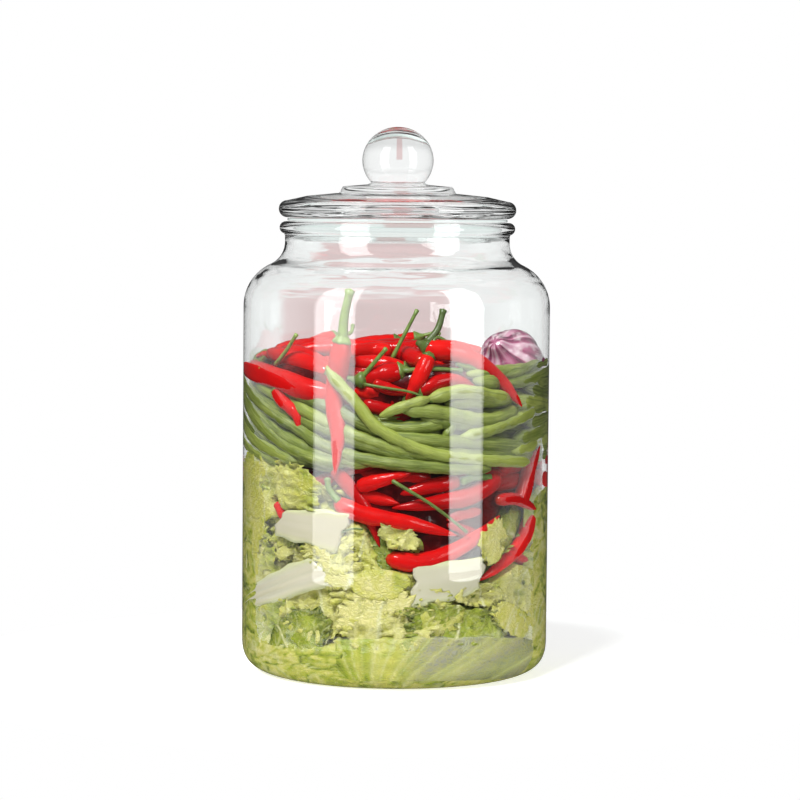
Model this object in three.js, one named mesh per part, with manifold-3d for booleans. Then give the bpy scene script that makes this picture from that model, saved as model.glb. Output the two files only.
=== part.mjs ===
// A clear glass jar with a stopper lid, filled with layers of cut vegetables.
// Millimetres, +Z up. The jar stands on z = 0 with its axis on Z, and its
// front is the -Y side. A place on the wall is given as degrees round the
// jar from the front, positive towards +X, and a height.
import * as THREE from 'three';
import { mergeVertices } from 'three/addons/utils/BufferGeometryUtils.js';
import Module from 'manifold-3d';

const wasm = await Module();
wasm.setup();

// Glass jar
const SEGMENTS = 28;
const BODY_RADIUS = 85;
const WALL = 3;
const BASE_CORNER_WIDE = 29.3;
const BASE_CORNER_TALL = 21.1;
const BASE_CORNER_POWER = 3.05;
const BEARING_INNER_RADIUS = 40;
const PUSH_UP = 2.5;
const FLOOR = 7.5;
const FLOOR_CROWN = 1.5;
const FLOOR_CORNER_WIDE = 27;
const FLOOR_CORNER_TALL = 16;
const SHOULDER_START = 203.6;
const SHOULDER_RADIUS = 25.6;
const NECK_RADIUS = 62.3;
const MOUTH_RADIUS = 58.5;
const NECK_HEIGHT = 239;
const RIM_RADIUS = 3.4;
const RIM_CENTRE = 61.9;
const RIM_HEIGHT = 247;
const MOUTH_ROUND = 1.5;

// Glass lid
const PLUG_RADIUS = 52;
const PLUG_WALL = 3.2;
const PLUG_BOTTOM = 240;
const LID_HOLLOW_TOP = 256.5;
const LID_UNDERSIDE = 252.6;
const LID_EDGE_RADIUS = 4.75;
const LID_EDGE_CENTRE = 61.05;
const LID_SLOPE_RADIUS = 34;
const LID_SLOPE_TOP = 266.2;
const DISC_RADIUS = 31;
const DISC_TOP = 270;
const KNOB_NECK_RADIUS = 14.7;
const KNOB_RADIUS = 19.7;
const KNOB_HALF_HEIGHT = 18.5;
const KNOB_CENTRE = 284.5;

// Clear seal between the lid and the mouth
const SEAL_INNER_RADIUS = 52.4;
const SEAL_COLLAR_RADIUS = 57.8;
const SEAL_FLANGE_RADIUS = 61;
const SEAL_BOTTOM = 243.5;
const SEAL_FLANGE_BOTTOM = 250.8;
const SEAL_TOP = 252.2;

// Filling
const GAP = 0.35;
const HEAP_SECTORS = 14;
const CORE_INSET = 5;
const HEAP_TOP = 175;
const BULB_RADIUS = 17;
const BULB_PLACE = { x: 58, y: -17, z: 177 };

const RIGHT_ANGLE = Math.PI / 2;
const radians = THREE.MathUtils.degToRad;

function seeded(seed) {
  let state = seed;
  return (low, high) => {
    state = (state * 1664525 + 1013904223) % 4294967296;
    return low + (high - low) * (state / 4294967296);
  };
}

function hump(degrees, centre, width) {
  const away = ((((degrees - centre) % 360) + 540) % 360) - 180;
  return Math.exp(-((away / width) ** 2));
}

// Outlines

function arc(centreX, centreY, radius, from, to, steps, stretch = 1) {
  const points = [];
  for (let i = 0; i <= steps; i += 1) {
    const a = radians(from + ((to - from) * i) / steps);
    points.push([centreX + radius * Math.cos(a), centreY + radius * stretch * Math.sin(a)]);
  }
  return points;
}

function roundCorner(radius, wide, tall, low, steps) {
  const points = [];
  for (let i = 0; i <= steps; i += 1) {
    const a = RIGHT_ANGLE * (1 - i / steps);
    const across = Math.cos(a) ** (2 / BASE_CORNER_POWER);
    const up = Math.sin(a) ** (2 / BASE_CORNER_POWER);
    points.push([radius - wide * (1 - across), low + tall * (1 - up)]);
  }
  return points;
}

function shoulder(radius, neckRadius) {
  const centre = BODY_RADIUS - SHOULDER_RADIUS;
  const round = radius - centre;
  const rise = NECK_HEIGHT - SHOULDER_START;
  const offset = neckRadius - centre;
  const fillet = (offset ** 2 + rise ** 2 - round ** 2) / (2 * (round - offset));
  const turn = THREE.MathUtils.radToDeg(Math.atan2(rise, offset + fillet));
  return [
    ...arc(centre, SHOULDER_START, round, 0, turn, 5),
    ...arc(neckRadius + fillet, NECK_HEIGHT, fillet, turn + 180, 180, 2).slice(1),
  ];
}

// Solids

function lathe(points) {
  const profile = points.map(([x, y]) => new THREE.Vector2(x, y));
  return new THREE.LatheGeometry(profile, SEGMENTS).rotateX(RIGHT_ANGLE);
}

function signedVolume(positions, triangles) {
  const corners = [new THREE.Vector3(), new THREE.Vector3(), new THREE.Vector3()];
  let sum = 0;
  for (let t = 0; t < triangles.length; t += 3) {
    corners.forEach((corner, i) => corner.fromArray(positions, 3 * triangles[t + i]));
    sum += corners[0].dot(corners[1].cross(corners[2])) / 6;
  }
  return sum;
}

function solid(geometry) {
  const bare = geometry.clone();
  bare.deleteAttribute('normal');
  bare.deleteAttribute('uv');
  const merged = mergeVertices(bare, 1e-3);
  const positions = merged.attributes.position.array;
  const triangles = [];
  for (let t = 0; t < merged.index.count; t += 3) {
    const [a, b, c] = merged.index.array.slice(t, t + 3);
    if (a !== b && b !== c && c !== a) triangles.push(a, b, c);
  }
  if (signedVolume(positions, triangles) < 0) triangles.reverse();
  return new wasm.Manifold(new wasm.Mesh({
    numProp: 3,
    vertProperties: new Float32Array(positions),
    triVerts: new Uint32Array(triangles),
  }));
}

function joined(solids) {
  return solids.reduce((whole, piece) => whole.add(piece));
}

// Keeps the largest closed body: scraps and sealed hollows go. Two bodies
// that only touch along an edge, where four triangles meet, stay apart.
function largestBody(positions, triangles) {
  const count = triangles.length / 3;
  const parent = Array.from({ length: count }, (_, i) => i);
  const root = (i) => {
    let at = i;
    while (parent[at] !== at) at = parent[at] = parent[parent[at]];
    return at;
  };
  const owners = new Map();
  for (let t = 0; t < count; t += 1) {
    for (let k = 0; k < 3; k += 1) {
      const [a, b] = [triangles[3 * t + k], triangles[3 * t + ((k + 1) % 3)]];
      const edge = a < b ? `${a} ${b}` : `${b} ${a}`;
      owners.set(edge, [...(owners.get(edge) ?? []), t]);
    }
  }
  for (const pair of owners.values()) {
    if (pair.length === 2) parent[root(pair[0])] = root(pair[1]);
  }
  const bodies = new Map();
  for (let t = 0; t < count; t += 1) {
    const key = root(t);
    if (!bodies.has(key)) bodies.set(key, []);
    bodies.get(key).push(...triangles.slice(3 * t, 3 * t + 3));
  }
  const sizes = [...bodies.values()].map((body) => [signedVolume(positions, body), body]);
  return sizes.sort((a, b) => b[0] - a[0])[0][1];
}

function geometryOf(manifold) {
  const mesh = manifold.getMesh();
  const positions = [];
  for (let i = 0; i < mesh.numVert; i += 1) {
    const start = i * mesh.numProp;
    positions.push(...mesh.vertProperties.slice(start, start + 3));
  }
  const geometry = new THREE.BufferGeometry();
  geometry.setAttribute('position', new THREE.Float32BufferAttribute(positions, 3));
  geometry.setIndex([...mesh.triVerts]);
  const merged = mergeVertices(geometry, 1e-3);
  const index = [];
  for (let t = 0; t < merged.index.count; t += 3) {
    const [a, b, c] = merged.index.array.slice(t, t + 3);
    if (a !== b && b !== c && c !== a) index.push(a, b, c);
  }
  merged.setIndex(largestBody(merged.attributes.position.array, index));
  merged.computeVertexNormals();
  return merged;
}

// Closed skin over rings of points, each ring a list of the same length,
// with a single point at either end.
function skin(first, rings, last) {
  const count = rings[0].length;
  const points = [first, ...rings.flat(), last];
  const end = points.length - 1;
  const index = [];
  for (let j = 0; j < count; j += 1) {
    const next = (j + 1) % count;
    index.push(0, 1 + next, 1 + j);
    for (let k = 0; k + 1 < rings.length; k += 1) {
      const low = 1 + k * count;
      const high = low + count;
      index.push(low + j, low + next, high + next, low + j, high + next, high + j);
    }
    const top = 1 + (rings.length - 1) * count;
    index.push(end, top + j, top + next);
  }
  const geometry = new THREE.BufferGeometry().setFromPoints(points);
  geometry.setIndex(index);
  return geometry;
}

// Tube whose radius changes along its path, with domed ends.
function taperedTube(points, radiusAt, sides, rings) {
  const path = new THREE.CatmullRomCurve3(points);
  const frames = path.computeFrenetFrames(rings - 1, false);
  const loops = [];
  for (let k = 0; k < rings; k += 1) {
    const t = k / (rings - 1);
    const centre = path.getPointAt(t);
    const loop = [];
    for (let j = 0; j < sides; j += 1) {
      const a = (2 * Math.PI * j) / sides;
      loop.push(centre.clone()
        .addScaledVector(frames.normals[k], radiusAt(t) * Math.cos(a))
        .addScaledVector(frames.binormals[k], radiusAt(t) * Math.sin(a)));
    }
    loops.push(loop);
  }
  const dome = 0.5;
  const first = path.getPointAt(0).addScaledVector(path.getTangentAt(0), -dome * radiusAt(0));
  const last = path.getPointAt(1).addScaledVector(path.getTangentAt(1), dome * radiusAt(1));
  return skin(first, loops, last);
}

// Jar, lid and seal

const FLOOR_CORNER = roundCorner(BODY_RADIUS - WALL, FLOOR_CORNER_WIDE, FLOOR_CORNER_TALL, FLOOR, 4);
const JAR_INSIDE = [
  [0, FLOOR + FLOOR_CROWN],
  [30, FLOOR + FLOOR_CROWN / 2],
  ...FLOOR_CORNER,
  ...shoulder(BODY_RADIUS - WALL, MOUTH_RADIUS),
];

function jarGeometry() {
  const outside = [
    [0, PUSH_UP],
    [BEARING_INNER_RADIUS - 8, PUSH_UP - 0.8],
    [BEARING_INNER_RADIUS, 0],
    ...roundCorner(BODY_RADIUS, BASE_CORNER_WIDE, BASE_CORNER_TALL, 0, 5),
    ...shoulder(BODY_RADIUS, NECK_RADIUS),
    [NECK_RADIUS, RIM_HEIGHT - RIM_RADIUS - 1],
    ...arc(RIM_CENTRE, RIM_HEIGHT, RIM_RADIUS, -70, 90, 4),
  ];
  const top = RIM_HEIGHT + RIM_RADIUS;
  const mouth = arc(MOUTH_RADIUS + MOUTH_ROUND, top - MOUTH_ROUND, MOUTH_ROUND, 90, 180, 1);
  return lathe([...outside, ...mouth, ...[...JAR_INSIDE].reverse()]);
}

function lidGeometry() {
  const start = THREE.MathUtils.radToDeg(Math.acos(KNOB_NECK_RADIUS / KNOB_RADIUS));
  const hollow = PLUG_RADIUS - PLUG_WALL;
  return lathe([
    [0, LID_HOLLOW_TOP + 1],
    [hollow - 8, LID_HOLLOW_TOP],
    [hollow - 1.2, LID_HOLLOW_TOP - 3.5],
    [hollow, PLUG_BOTTOM + 0.8],
    [hollow + 0.8, PLUG_BOTTOM],
    [PLUG_RADIUS - 0.8, PLUG_BOTTOM],
    [PLUG_RADIUS, PLUG_BOTTOM + 0.8],
    [PLUG_RADIUS, LID_UNDERSIDE],
    ...arc(LID_EDGE_CENTRE, LID_UNDERSIDE + LID_EDGE_RADIUS, LID_EDGE_RADIUS, -90, 90, 5),
    [50, LID_SLOPE_TOP - 1.6],
    [LID_SLOPE_RADIUS, LID_SLOPE_TOP],
    [DISC_RADIUS + 1.5, LID_SLOPE_TOP + 1],
    [DISC_RADIUS, DISC_TOP - 0.8],
    [DISC_RADIUS - 3, DISC_TOP],
    ...arc(0, KNOB_CENTRE, KNOB_RADIUS, -start, 89, 7, KNOB_HALF_HEIGHT / KNOB_RADIUS),
    [0, KNOB_CENTRE + KNOB_HALF_HEIGHT],
  ]);
}

function sealGeometry() {
  return lathe([
    [SEAL_INNER_RADIUS, SEAL_BOTTOM],
    [SEAL_COLLAR_RADIUS, SEAL_BOTTOM],
    [SEAL_COLLAR_RADIUS, SEAL_FLANGE_BOTTOM],
    [SEAL_FLANGE_RADIUS, SEAL_FLANGE_BOTTOM],
    [SEAL_FLANGE_RADIUS, SEAL_TOP],
    [SEAL_INNER_RADIUS, SEAL_TOP],
    [SEAL_INNER_RADIUS, SEAL_BOTTOM],
  ]);
}

// Room inside the jar, a gap clear of the glass.
function roomInside() {
  const trimmed = JAR_INSIDE.map(([x, z]) => [Math.max(0, x - GAP), z]);
  trimmed[0][1] += GAP;
  trimmed[1][1] += GAP;
  FLOOR_CORNER.forEach((_, i) => { trimmed[2 + i][1] += GAP * (1 - i / (FLOOR_CORNER.length - 1)); });
  const top = trimmed[trimmed.length - 1];
  return solid(lathe([...trimmed, [0, top[1]]]));
}

// Inner radius of the jar at a height
function innerRadius(z) {
  const radius = BODY_RADIUS - WALL;
  const up = THREE.MathUtils.clamp((z - FLOOR) / FLOOR_CORNER_TALL, 0, 1);
  const across = (1 - (1 - up) ** BASE_CORNER_POWER) ** (1 / BASE_CORNER_POWER);
  return radius - FLOOR_CORNER_WIDE * (1 - across);
}

function atWall(degrees, z, inset) {
  const a = radians(degrees);
  const r = innerRadius(z) - inset;
  return new THREE.Vector3(r * Math.sin(a), -r * Math.cos(a), z);
}

// Heights, round the jar, of the surfaces between one layer and the next.
// f runs from 0 on the axis to 1 at the wall.
function cabbageTop(degrees, f) {
  const crest = 112 + 4 * hump(degrees, -60, 30);
  const dip = 50 * hump(degrees, 20, 32) + 24 * hump(degrees, 165, 40);
  return crest - dip * f;
}

function beansLow(degrees, f) {
  const wall = 119 + 9 * hump(degrees, 85, 26) + 4 * hump(degrees, -100, 50);
  return THREE.MathUtils.lerp(120, wall, f);
}

function beansTop(degrees, f) {
  const wall = 163 - 15 * hump(degrees, 2, 22) + 2 * Math.sin(radians(4 * degrees));
  return THREE.MathUtils.lerp(152, wall, f * f);
}

function heapTop(degrees, f) {
  const wall = 171 - 12 * hump(degrees, 75, 22) + 3 * Math.sin(radians(5 * degrees));
  return THREE.MathUtils.lerp(HEAP_TOP, wall, f * f);
}

function chilliesTop(degrees, f) {
  return Math.max(beansLow(degrees, f), cabbageTop(degrees, f) + 3);
}

// Core of a layer: a bumpy disc between two surfaces.
function core(lowAt, highAt, seed, extra) {
  const random = seeded(seed);
  const shares = [0.6, 1];
  const ring = (f, heightAt, shift, bump) => Array.from({ length: HEAP_SECTORS }, (_, j) => {
    const degrees = (360 * j) / HEAP_SECTORS;
    const z = heightAt(degrees, f) + shift;
    return atWall(degrees, z, 0).multiply(new THREE.Vector3(f, f, 1))
      .add(atWall(degrees, z, random(-bump, bump) + CORE_INSET - extra).setZ(0)
        .sub(atWall(degrees, z, 0).setZ(0)).multiplyScalar(f));
  });
  const between = (share) => (d, f) => THREE.MathUtils.lerp(lowAt(d, f), highAt(d, f), share);
  const rings = [
    ...shares.map((f) => ring(f, lowAt, -extra, 0)),
    ring(1, between(0.5), 0, 1),
    ...[...shares].reverse().map((f) => ring(f, highAt, extra, 0)),
  ];
  return solid(skin(
    new THREE.Vector3(0, 0, lowAt(0, 0) - extra),
    rings,
    new THREE.Vector3(0, 0, highAt(0, 0) + extra),
  ));
}

// Vegetables

const CHILLI_TAPER = [0.7, 1, 0.97, 0.86, 0.62, 0.15];

function taper(table, t) {
  const at = t * (table.length - 1);
  const i = Math.min(Math.floor(at), table.length - 2);
  return THREE.MathUtils.lerp(table[i], table[i + 1], at - i);
}

function alongWall(row, extra) {
  const inset = row.inset ?? 1.1;
  const points = row.path.map(([degrees, z]) => atWall(degrees, z, inset + row.radius));
  return { points, radius: row.radius + extra };
}

function chilli(row, extra = 0) {
  const { points, radius } = alongWall(row, extra);
  return solid(taperedTube(points, (t) => radius * taper(CHILLI_TAPER, t) + extra / 2, 5, 6));
}

function stem(row, extra = 0) {
  const { points, radius } = alongWall(row, extra);
  return solid(taperedTube(points, (t) => radius * (1 - 0.35 * t), 4, 3));
}

function bean(row, extra = 0) {
  const { points, radius } = alongWall(row, extra);
  const rings = row.path.length + 2;
  const end = (t) => Math.min(1, 0.6 + 8 * Math.min(t, 1 - t));
  return solid(taperedTube(points, (t) => radius * end(t), 5, rings));
}

// Flat piece against the wall: a wavy leaf, or a thick rib with straight sides.
function leaf(row, extra = 0) {
  const sectors = row.sectors ?? 7;
  const thick = row.thick ?? 5;
  const wave = row.wave ?? 1.6;
  const inset = row.inset ?? 1;
  const turn = radians(row.turn ?? 0);
  const grown = (size) => size / 2 + extra;
  const face = (share, depth) => Array.from({ length: sectors }, (_, j) => {
    const a = (2 * Math.PI * (j + 0.5)) / sectors;
    const frill = 1 + (row.frill ?? 0.12) * share * Math.sin(5 * a + row.deg);
    const u = share * frill * grown(row.wide) * Math.cos(a);
    const v = share * frill * grown(row.tall) * Math.sin(a);
    const up = row.z + u * Math.sin(turn) + v * Math.cos(turn);
    const z = Math.max(up, FLOOR + 3);
    const across = u * Math.cos(turn) - v * Math.sin(turn);
    const ripple = wave * (1 + Math.sin(0.16 * u + 0.21 * v + row.deg));
    const degrees = row.deg + THREE.MathUtils.radToDeg(across / innerRadius(row.z));
    return atWall(degrees, z, inset + ripple + depth);
  });
  const rise = Math.max(row.z, FLOOR + 3);
  const shares = [0.55, 1];
  return solid(skin(
    atWall(row.deg, rise, inset + wave - extra),
    [
      ...shares.map((share) => face(share, -extra)),
      ...[...shares].reverse().map((share) => face(share, thick + extra)),
    ],
    atWall(row.deg, rise, inset + wave + thick + extra),
  ));
}

// Chillies on top that show from the front, each from its stalk end to its tip
const TOP_CHILLIES = [
  { path: [[-18, 161], [-35, 162], [-57, 169], [-85, 173]], radius: 6.6 },
  { path: [[-30, 169], [-52, 176], [-84, 178]], radius: 5, inset: 10 },
  { path: [[-22, 188], [-25, 176], [-23, 159], [-24, 126]], radius: 5.4, inset: 0.7 },
  { path: [[-57, 165], [-51, 159], [-44, 152], [-43, 144]], radius: 3.7, inset: 0.7 },
  { path: [[4, 172], [-8, 175], [-26, 176]], radius: 4.8, inset: 13 },
  { path: [[14, 180], [10, 170], [4, 155]], radius: 4.2, inset: 6 },
  { path: [[9, 161], [22, 167], [36, 162]], radius: 4, inset: 7 },
  { path: [[-15, 170], [-3, 166], [5, 159]], radius: 4.4, inset: 8 },
  { path: [[14, 184], [28, 184], [44, 178], [57, 168], [70, 157]], radius: 5.8, inset: 5 },
  { path: [[-3, 180], [-18, 181], [-38, 180]], radius: 4.8, inset: 30 },
  { path: [[24, 182], [5, 182], [-16, 184]], radius: 4.8, inset: 36 },
  { path: [[-16, 160], [-6, 157], [4, 155]], radius: 4, inset: 12 },
];

const TOP_STEMS = [
  { path: [[-22, 187], [-21, 199], [-19, 214]], radius: 2, inset: 4 },
  { path: [[-60, 172], [-54, 181], [-48, 190]], radius: 1.4, inset: 8 },
  { path: [[-14, 168], [-9, 176], [-4, 184]], radius: 1.5, inset: 7 },
  { path: [[-2, 178], [3, 189], [10, 204]], radius: 1.4, inset: 20 },
  { path: [[21, 182], [21, 194], [22, 204]], radius: 3.4, inset: 20 },
  { path: [[-15, 168], [-8, 164], [3, 162], [13, 156]], radius: 1.8, inset: 3 },
];

const BEANS = [
  { path: [[-27, 173], [-16, 155], [-7, 142], [14, 129], [60, 122]] },
  { path: [[-88, 154], [-66, 142], [-44, 129], [-20, 122]] },
  { path: [[-96, 167], [-72, 157], [-42, 140], [2, 124]] },
  { path: [[-100, 144], [-66, 132], [-42, 124]] },
  { path: [[-50, 159], [-29, 153], [-12, 141]] },
  { path: [[12, 157], [26, 161], [46, 157], [76, 152]] },
  { path: [[2, 151], [16, 150], [36, 145], [52, 149]] },
  { path: [[-4, 137], [14, 135], [36, 133], [72, 129]] },
  { path: [[26, 137], [38, 140], [62, 149]] },
  { path: [[30, 167], [50, 165], [74, 168], [100, 171]] },
  { path: [[-7, 149], [1, 153], [13, 158]] },
];

const LOWER_CHILLIES = [
  { path: [[-26, 118], [-19, 110], [-12, 98], [-6, 78]], radius: 3.6, inset: 4 },
  { path: [[-14, 110], [-5, 113], [5, 117]], radius: 3.8, inset: 2.6 },
  { path: [[-24, 101], [-11, 95], [6, 91], [25, 84]], radius: 4.8 },
  { path: [[46, 114], [32, 105], [18, 102], [0, 99]], radius: 4.9, inset: 1.5 },
  { path: [[27, 113], [14, 110], [2, 106]], radius: 4.2, inset: 3 },
  { path: [[-2, 72], [10, 70], [22, 74], [37, 85], [49, 96]], radius: 4.5 },
  { path: [[66, 90], [60, 79], [47, 67], [35, 59]], radius: 4 },
  { path: [[43, 102], [55, 101], [71, 92]], radius: 3.2 },
  { path: [[55, 103], [65, 114], [84, 125]], radius: 3.7, inset: 3 },
  { path: [[88, 118], [88, 107], [86, 98]], radius: 3.7, inset: 2 },
];

const LEAVES = [
  { deg: -62, z: 106, wide: 52, tall: 26, wave: 1.2 },
  { deg: -35, z: 87, wide: 34, tall: 20, turn: -8, wave: 0, frill: 0, inset: 0.8 },
  { deg: 22, z: 57, wide: 38, tall: 20, turn: 6, wave: 0, frill: 0, inset: 1.4 },
  { deg: -58, z: 57, wide: 52, tall: 22, turn: 28, wave: 0.6, frill: 0.04 },
  { deg: -13, z: 62, wide: 36, tall: 30 },
  { deg: -62, z: 31, wide: 52, tall: 28 },
  { deg: 4, z: 38, wide: 56, tall: 18, turn: -4 },
  { deg: 56, z: 46, wide: 48, tall: 30 },
  { deg: 80, z: 80, wide: 34, tall: 40 },
  { deg: -12, z: 19, wide: 54, tall: 18, wave: 1 },
  { deg: 38, z: 19, wide: 50, tall: 22, wave: 0.6, frill: 0.04 },
];

function chilliesAtBack(random, count, low, high) {
  return Array.from({ length: count }, (_, i) => {
    const from = 105 + (165 * (i + random(-0.3, 0.3))) / count;
    const sweep = random(34, 56) * (i % 2 ? 1 : -1);
    const z = random(low, high);
    const drop = random(-9, 9);
    const path = [[from - sweep / 2, z - drop], [from, z + random(-3, 4)], [from + sweep / 2, z + drop]];
    return { path, radius: random(4.2, 5.8) };
  });
}

function beansAtBack(random) {
  return Array.from({ length: 6 }, (_, i) => {
    const middle = 180 + random(-28, 28);
    const z = 125 + 7 * i;
    const path = [-72, -26, 26, 72].map((d) => [middle + d, z + random(-4, 4)]);
    return { path };
  });
}

function leavesAtBack(random) {
  const rows = [];
  for (const z of [26, 60, 94]) {
    for (let deg = 118; deg < 262; deg += 50) {
      rows.push({
        deg: deg + random(-8, 8),
        z: z + random(-6, 6),
        wide: random(46, 58),
        tall: random(28, 34),
        turn: random(-12, 12),
      });
    }
  }
  return rows;
}

// Top chillies that lie across the middle of the heap
function chilliesAcross(random, extra) {
  return Array.from({ length: 4 }, (_, i) => {
    const heading = radians(45 * i + random(-20, 20));
    const x = random(-34, 34);
    const y = random(-20, 44);
    const half = random(26, 38);
    const points = [-1, 0, 1].map((s) => new THREE.Vector3(
      x + s * half * Math.cos(heading),
      y + s * half * Math.sin(heading),
      HEAP_TOP + 1.5 + 2 * (1 - Math.abs(s)),
    ));
    const radius = random(4.4, 5.6) + extra;
    return solid(taperedTube(points, (t) => radius * taper(CHILLI_TAPER, t), 5, 6));
  });
}

function withBeanRadius(rows) {
  return rows.map((row, i) => ({ radius: 3.7 + 0.15 * (i % 4), ...row }));
}

function topChillies(extra) {
  const random = seeded(11);
  const back = chilliesAtBack(random, 5, 166, 172);
  return joined([
    core(beansTop, heapTop, 12, extra),
    ...[...TOP_CHILLIES, ...back].map((row) => chilli(row, extra)),
    ...TOP_STEMS.map((row) => stem(row, extra)),
    ...chilliesAcross(random, extra),
  ]);
}

function greenBeans(extra) {
  const rows = withBeanRadius([...BEANS, ...beansAtBack(seeded(21))]);
  return joined([core(beansLow, beansTop, 22, extra), ...rows.map((row) => bean(row, extra))]);
}

function lowerChillies(extra) {
  const back = chilliesAtBack(seeded(31), 4, 98, 110);
  const rows = [...LOWER_CHILLIES, ...back];
  return joined([core(cabbageTop, chilliesTop, 32, extra), ...rows.map((row) => chilli(row, extra))]);
}

function cabbageFloor(degrees, f) {
  return f < 1 ? FLOOR + 2 : FLOOR + 4;
}

function cabbage() {
  const rows = [...LEAVES, ...leavesAtBack(seeded(41))];
  return joined([core(cabbageFloor, cabbageTop, 42, 0), ...rows.map((row) => leaf(row))]);
}

function garlicBulb(extra) {
  const lobes = 5;
  const globe = new THREE.SphereGeometry(BULB_RADIUS + extra, 2 * lobes, 6).rotateX(RIGHT_ANGLE);
  const places = globe.attributes.position;
  const point = new THREE.Vector3();
  for (let i = 0; i < places.count; i += 1) {
    point.fromBufferAttribute(places, i);
    const a = Math.atan2(point.y, point.x);
    const waist = 1 + 0.05 * Math.cos(lobes * a) * (1 - Math.abs(point.z) / (BULB_RADIUS + extra));
    places.setXYZ(i, point.x * waist, point.y * waist, 0.86 * point.z);
  }
  globe.rotateX(radians(58)).rotateZ(radians(-30));
  globe.translate(BULB_PLACE.x, BULB_PLACE.y, BULB_PLACE.z);
  return solid(globe);
}

// Assembly

function material(color, roughness) {
  return new THREE.MeshStandardMaterial({ color, roughness, metalness: 0 });
}

const clearGlass = material(0xdfe8e6, 0.05);
const clearRubber = material(0xe8ecec, 0.35);
const cabbageLeaf = material(0xc9d693, 0.55);
const redChilli = material(0xcf1a1f, 0.3);
const greenBean = material(0x7f9a45, 0.45);
const garlicSkin = material(0xc98fa2, 0.4);

const group = new THREE.Group();

function addPiece(name, geometry, finish) {
  const mesh = new THREE.Mesh(geometry, finish);
  mesh.name = name;
  group.add(mesh);
}

addPiece('jar_glass', geometryOf(solid(jarGeometry())), clearGlass);
addPiece('lid_glass', geometryOf(solid(lidGeometry())), clearGlass);
addPiece('lid_seal', geometryOf(solid(sealGeometry())), clearRubber);

// Each layer is cut to the room inside and by the layers above it.
const room = roomInside();
const layers = [
  ['garlic_bulb', garlicBulb, garlicSkin],
  ['chilli_heap_top', topChillies, redChilli],
  ['bean_heap', greenBeans, greenBean],
  ['chilli_heap_lower', lowerChillies, redChilli],
  ['cabbage_heap', cabbage, cabbageLeaf],
];
let above = null;
for (const [name, build, finish] of layers) {
  const whole = build(0).intersect(room);
  addPiece(name, geometryOf(above ? whole.subtract(above) : whole), finish);
  const padded = build(GAP);
  above = above ? above.add(padded) : padded;
}

export default group;
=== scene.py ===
"""A clear glass jar with a ball-knob lid, filled with layers of cut vegetables.

Lengths are in millimetres until a mesh is made. A place by the wall is given
as degrees round the jar from its front (-Y), positive towards +X, a height,
and an inset, which is how far it lies inside the glass.
"""
import math
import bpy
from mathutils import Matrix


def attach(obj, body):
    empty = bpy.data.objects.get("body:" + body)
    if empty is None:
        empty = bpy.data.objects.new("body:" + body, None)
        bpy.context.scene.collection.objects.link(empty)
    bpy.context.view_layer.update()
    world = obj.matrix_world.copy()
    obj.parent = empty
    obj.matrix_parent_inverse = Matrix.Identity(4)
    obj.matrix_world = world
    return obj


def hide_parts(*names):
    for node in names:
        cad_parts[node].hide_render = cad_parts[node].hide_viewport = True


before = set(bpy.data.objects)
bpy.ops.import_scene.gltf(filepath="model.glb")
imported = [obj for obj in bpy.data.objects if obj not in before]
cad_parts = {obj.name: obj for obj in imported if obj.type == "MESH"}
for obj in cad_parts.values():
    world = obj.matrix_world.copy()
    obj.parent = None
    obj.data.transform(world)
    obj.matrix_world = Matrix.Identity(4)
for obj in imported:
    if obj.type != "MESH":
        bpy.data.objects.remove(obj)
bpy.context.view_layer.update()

from types import SimpleNamespace

import bpy
import numpy as np
from mathutils import Matrix

MM = 0.001
BODY = "root"

# Glass jar, as in the solid
BODY_RADIUS = 85.0
WALL = 3.0
WALL_RADIUS = BODY_RADIUS - WALL
BASE_CORNER = (29.3, 21.1)
FLOOR_CORNER = (27.0, 16.0)
CORNER_POWER = 3.05
BEARING_INNER_RADIUS = 40.0
PUSH_UP = 2.5
FLOOR = 7.5
FLOOR_CROWN = 1.5
SHOULDER_START = 203.6
SHOULDER_RADIUS = 25.6
NECK_RADIUS = 62.3
MOUTH_RADIUS = 58.5
NECK_HEIGHT = 239.0
RIM_RADIUS = 3.4
RIM_CENTRE = 61.9
RIM_HEIGHT = 247.0
MOUTH_ROUND = 1.5

# Glass lid
LID_ROUND = 0.8
PLUG_RADIUS = 52.0
PLUG_WALL = 3.2
PLUG_BOTTOM = 240.0
LID_HOLLOW_TOP = 256.5
LID_UNDERSIDE = 252.6
LID_EDGE_RADIUS = 4.75
LID_EDGE_CENTRE = 61.05
LID_SLOPE_RADIUS = 34.0
LID_SLOPE_TOP = 266.2
DISC_RADIUS = 31.0
DISC_TOP = 270.0
KNOB_NECK_RADIUS = 14.7
KNOB_RADIUS = 19.7
KNOB_HALF_HEIGHT = 18.5
KNOB_CENTRE = 284.5

# Clear seal
SEAL_INNER_RADIUS = 52.4
SEAL_COLLAR_RADIUS = 57.8
SEAL_FLANGE_RADIUS = 61.0
SEAL_BOTTOM = 243.5
SEAL_FLANGE_BOTTOM = 250.8
SEAL_TOP = 252.2
SEAL_BEVEL = 0.3

# Filling. What would reach past the glass goes into it by LEAST_DEEP to
# DEEPEST, and PRESS_SCALE says how much further out it must have been for that.
LEAST_DEEP = 0.1
DEEPEST = 0.6
PRESS_SCALE = 1.6
CORE_INSET = 8.0
HEAP_TOP = 175.0
BULB_RADIUS = 17.0
BULB_PLACE = (62.0, -17.0, 175.0)
CROSSING_REACH = 74.0
LINE_SCALE = 1.4
CHILLI_RINGS = 30
CHILLI_SIDES = 16
TAPER_PLACES = (0.0, 0.03, 0.12, 0.35, 0.6, 0.8, 0.93, 1.0)
TAPER_RADII = (0.45, 0.82, 1.0, 0.97, 0.84, 0.6, 0.32, 0.09)
CAP_RINGS = 6
CAP_SIDES = 14
STALK_RINGS = 12
BEAN_SIDES = 16
LEAF_STEP = 1.0
BACK_LEAF_STEP = 2.2
LEAF_THICK = 0.7
PRESSED_IN = 0.45
RIB_STEP = 1.3
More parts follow.
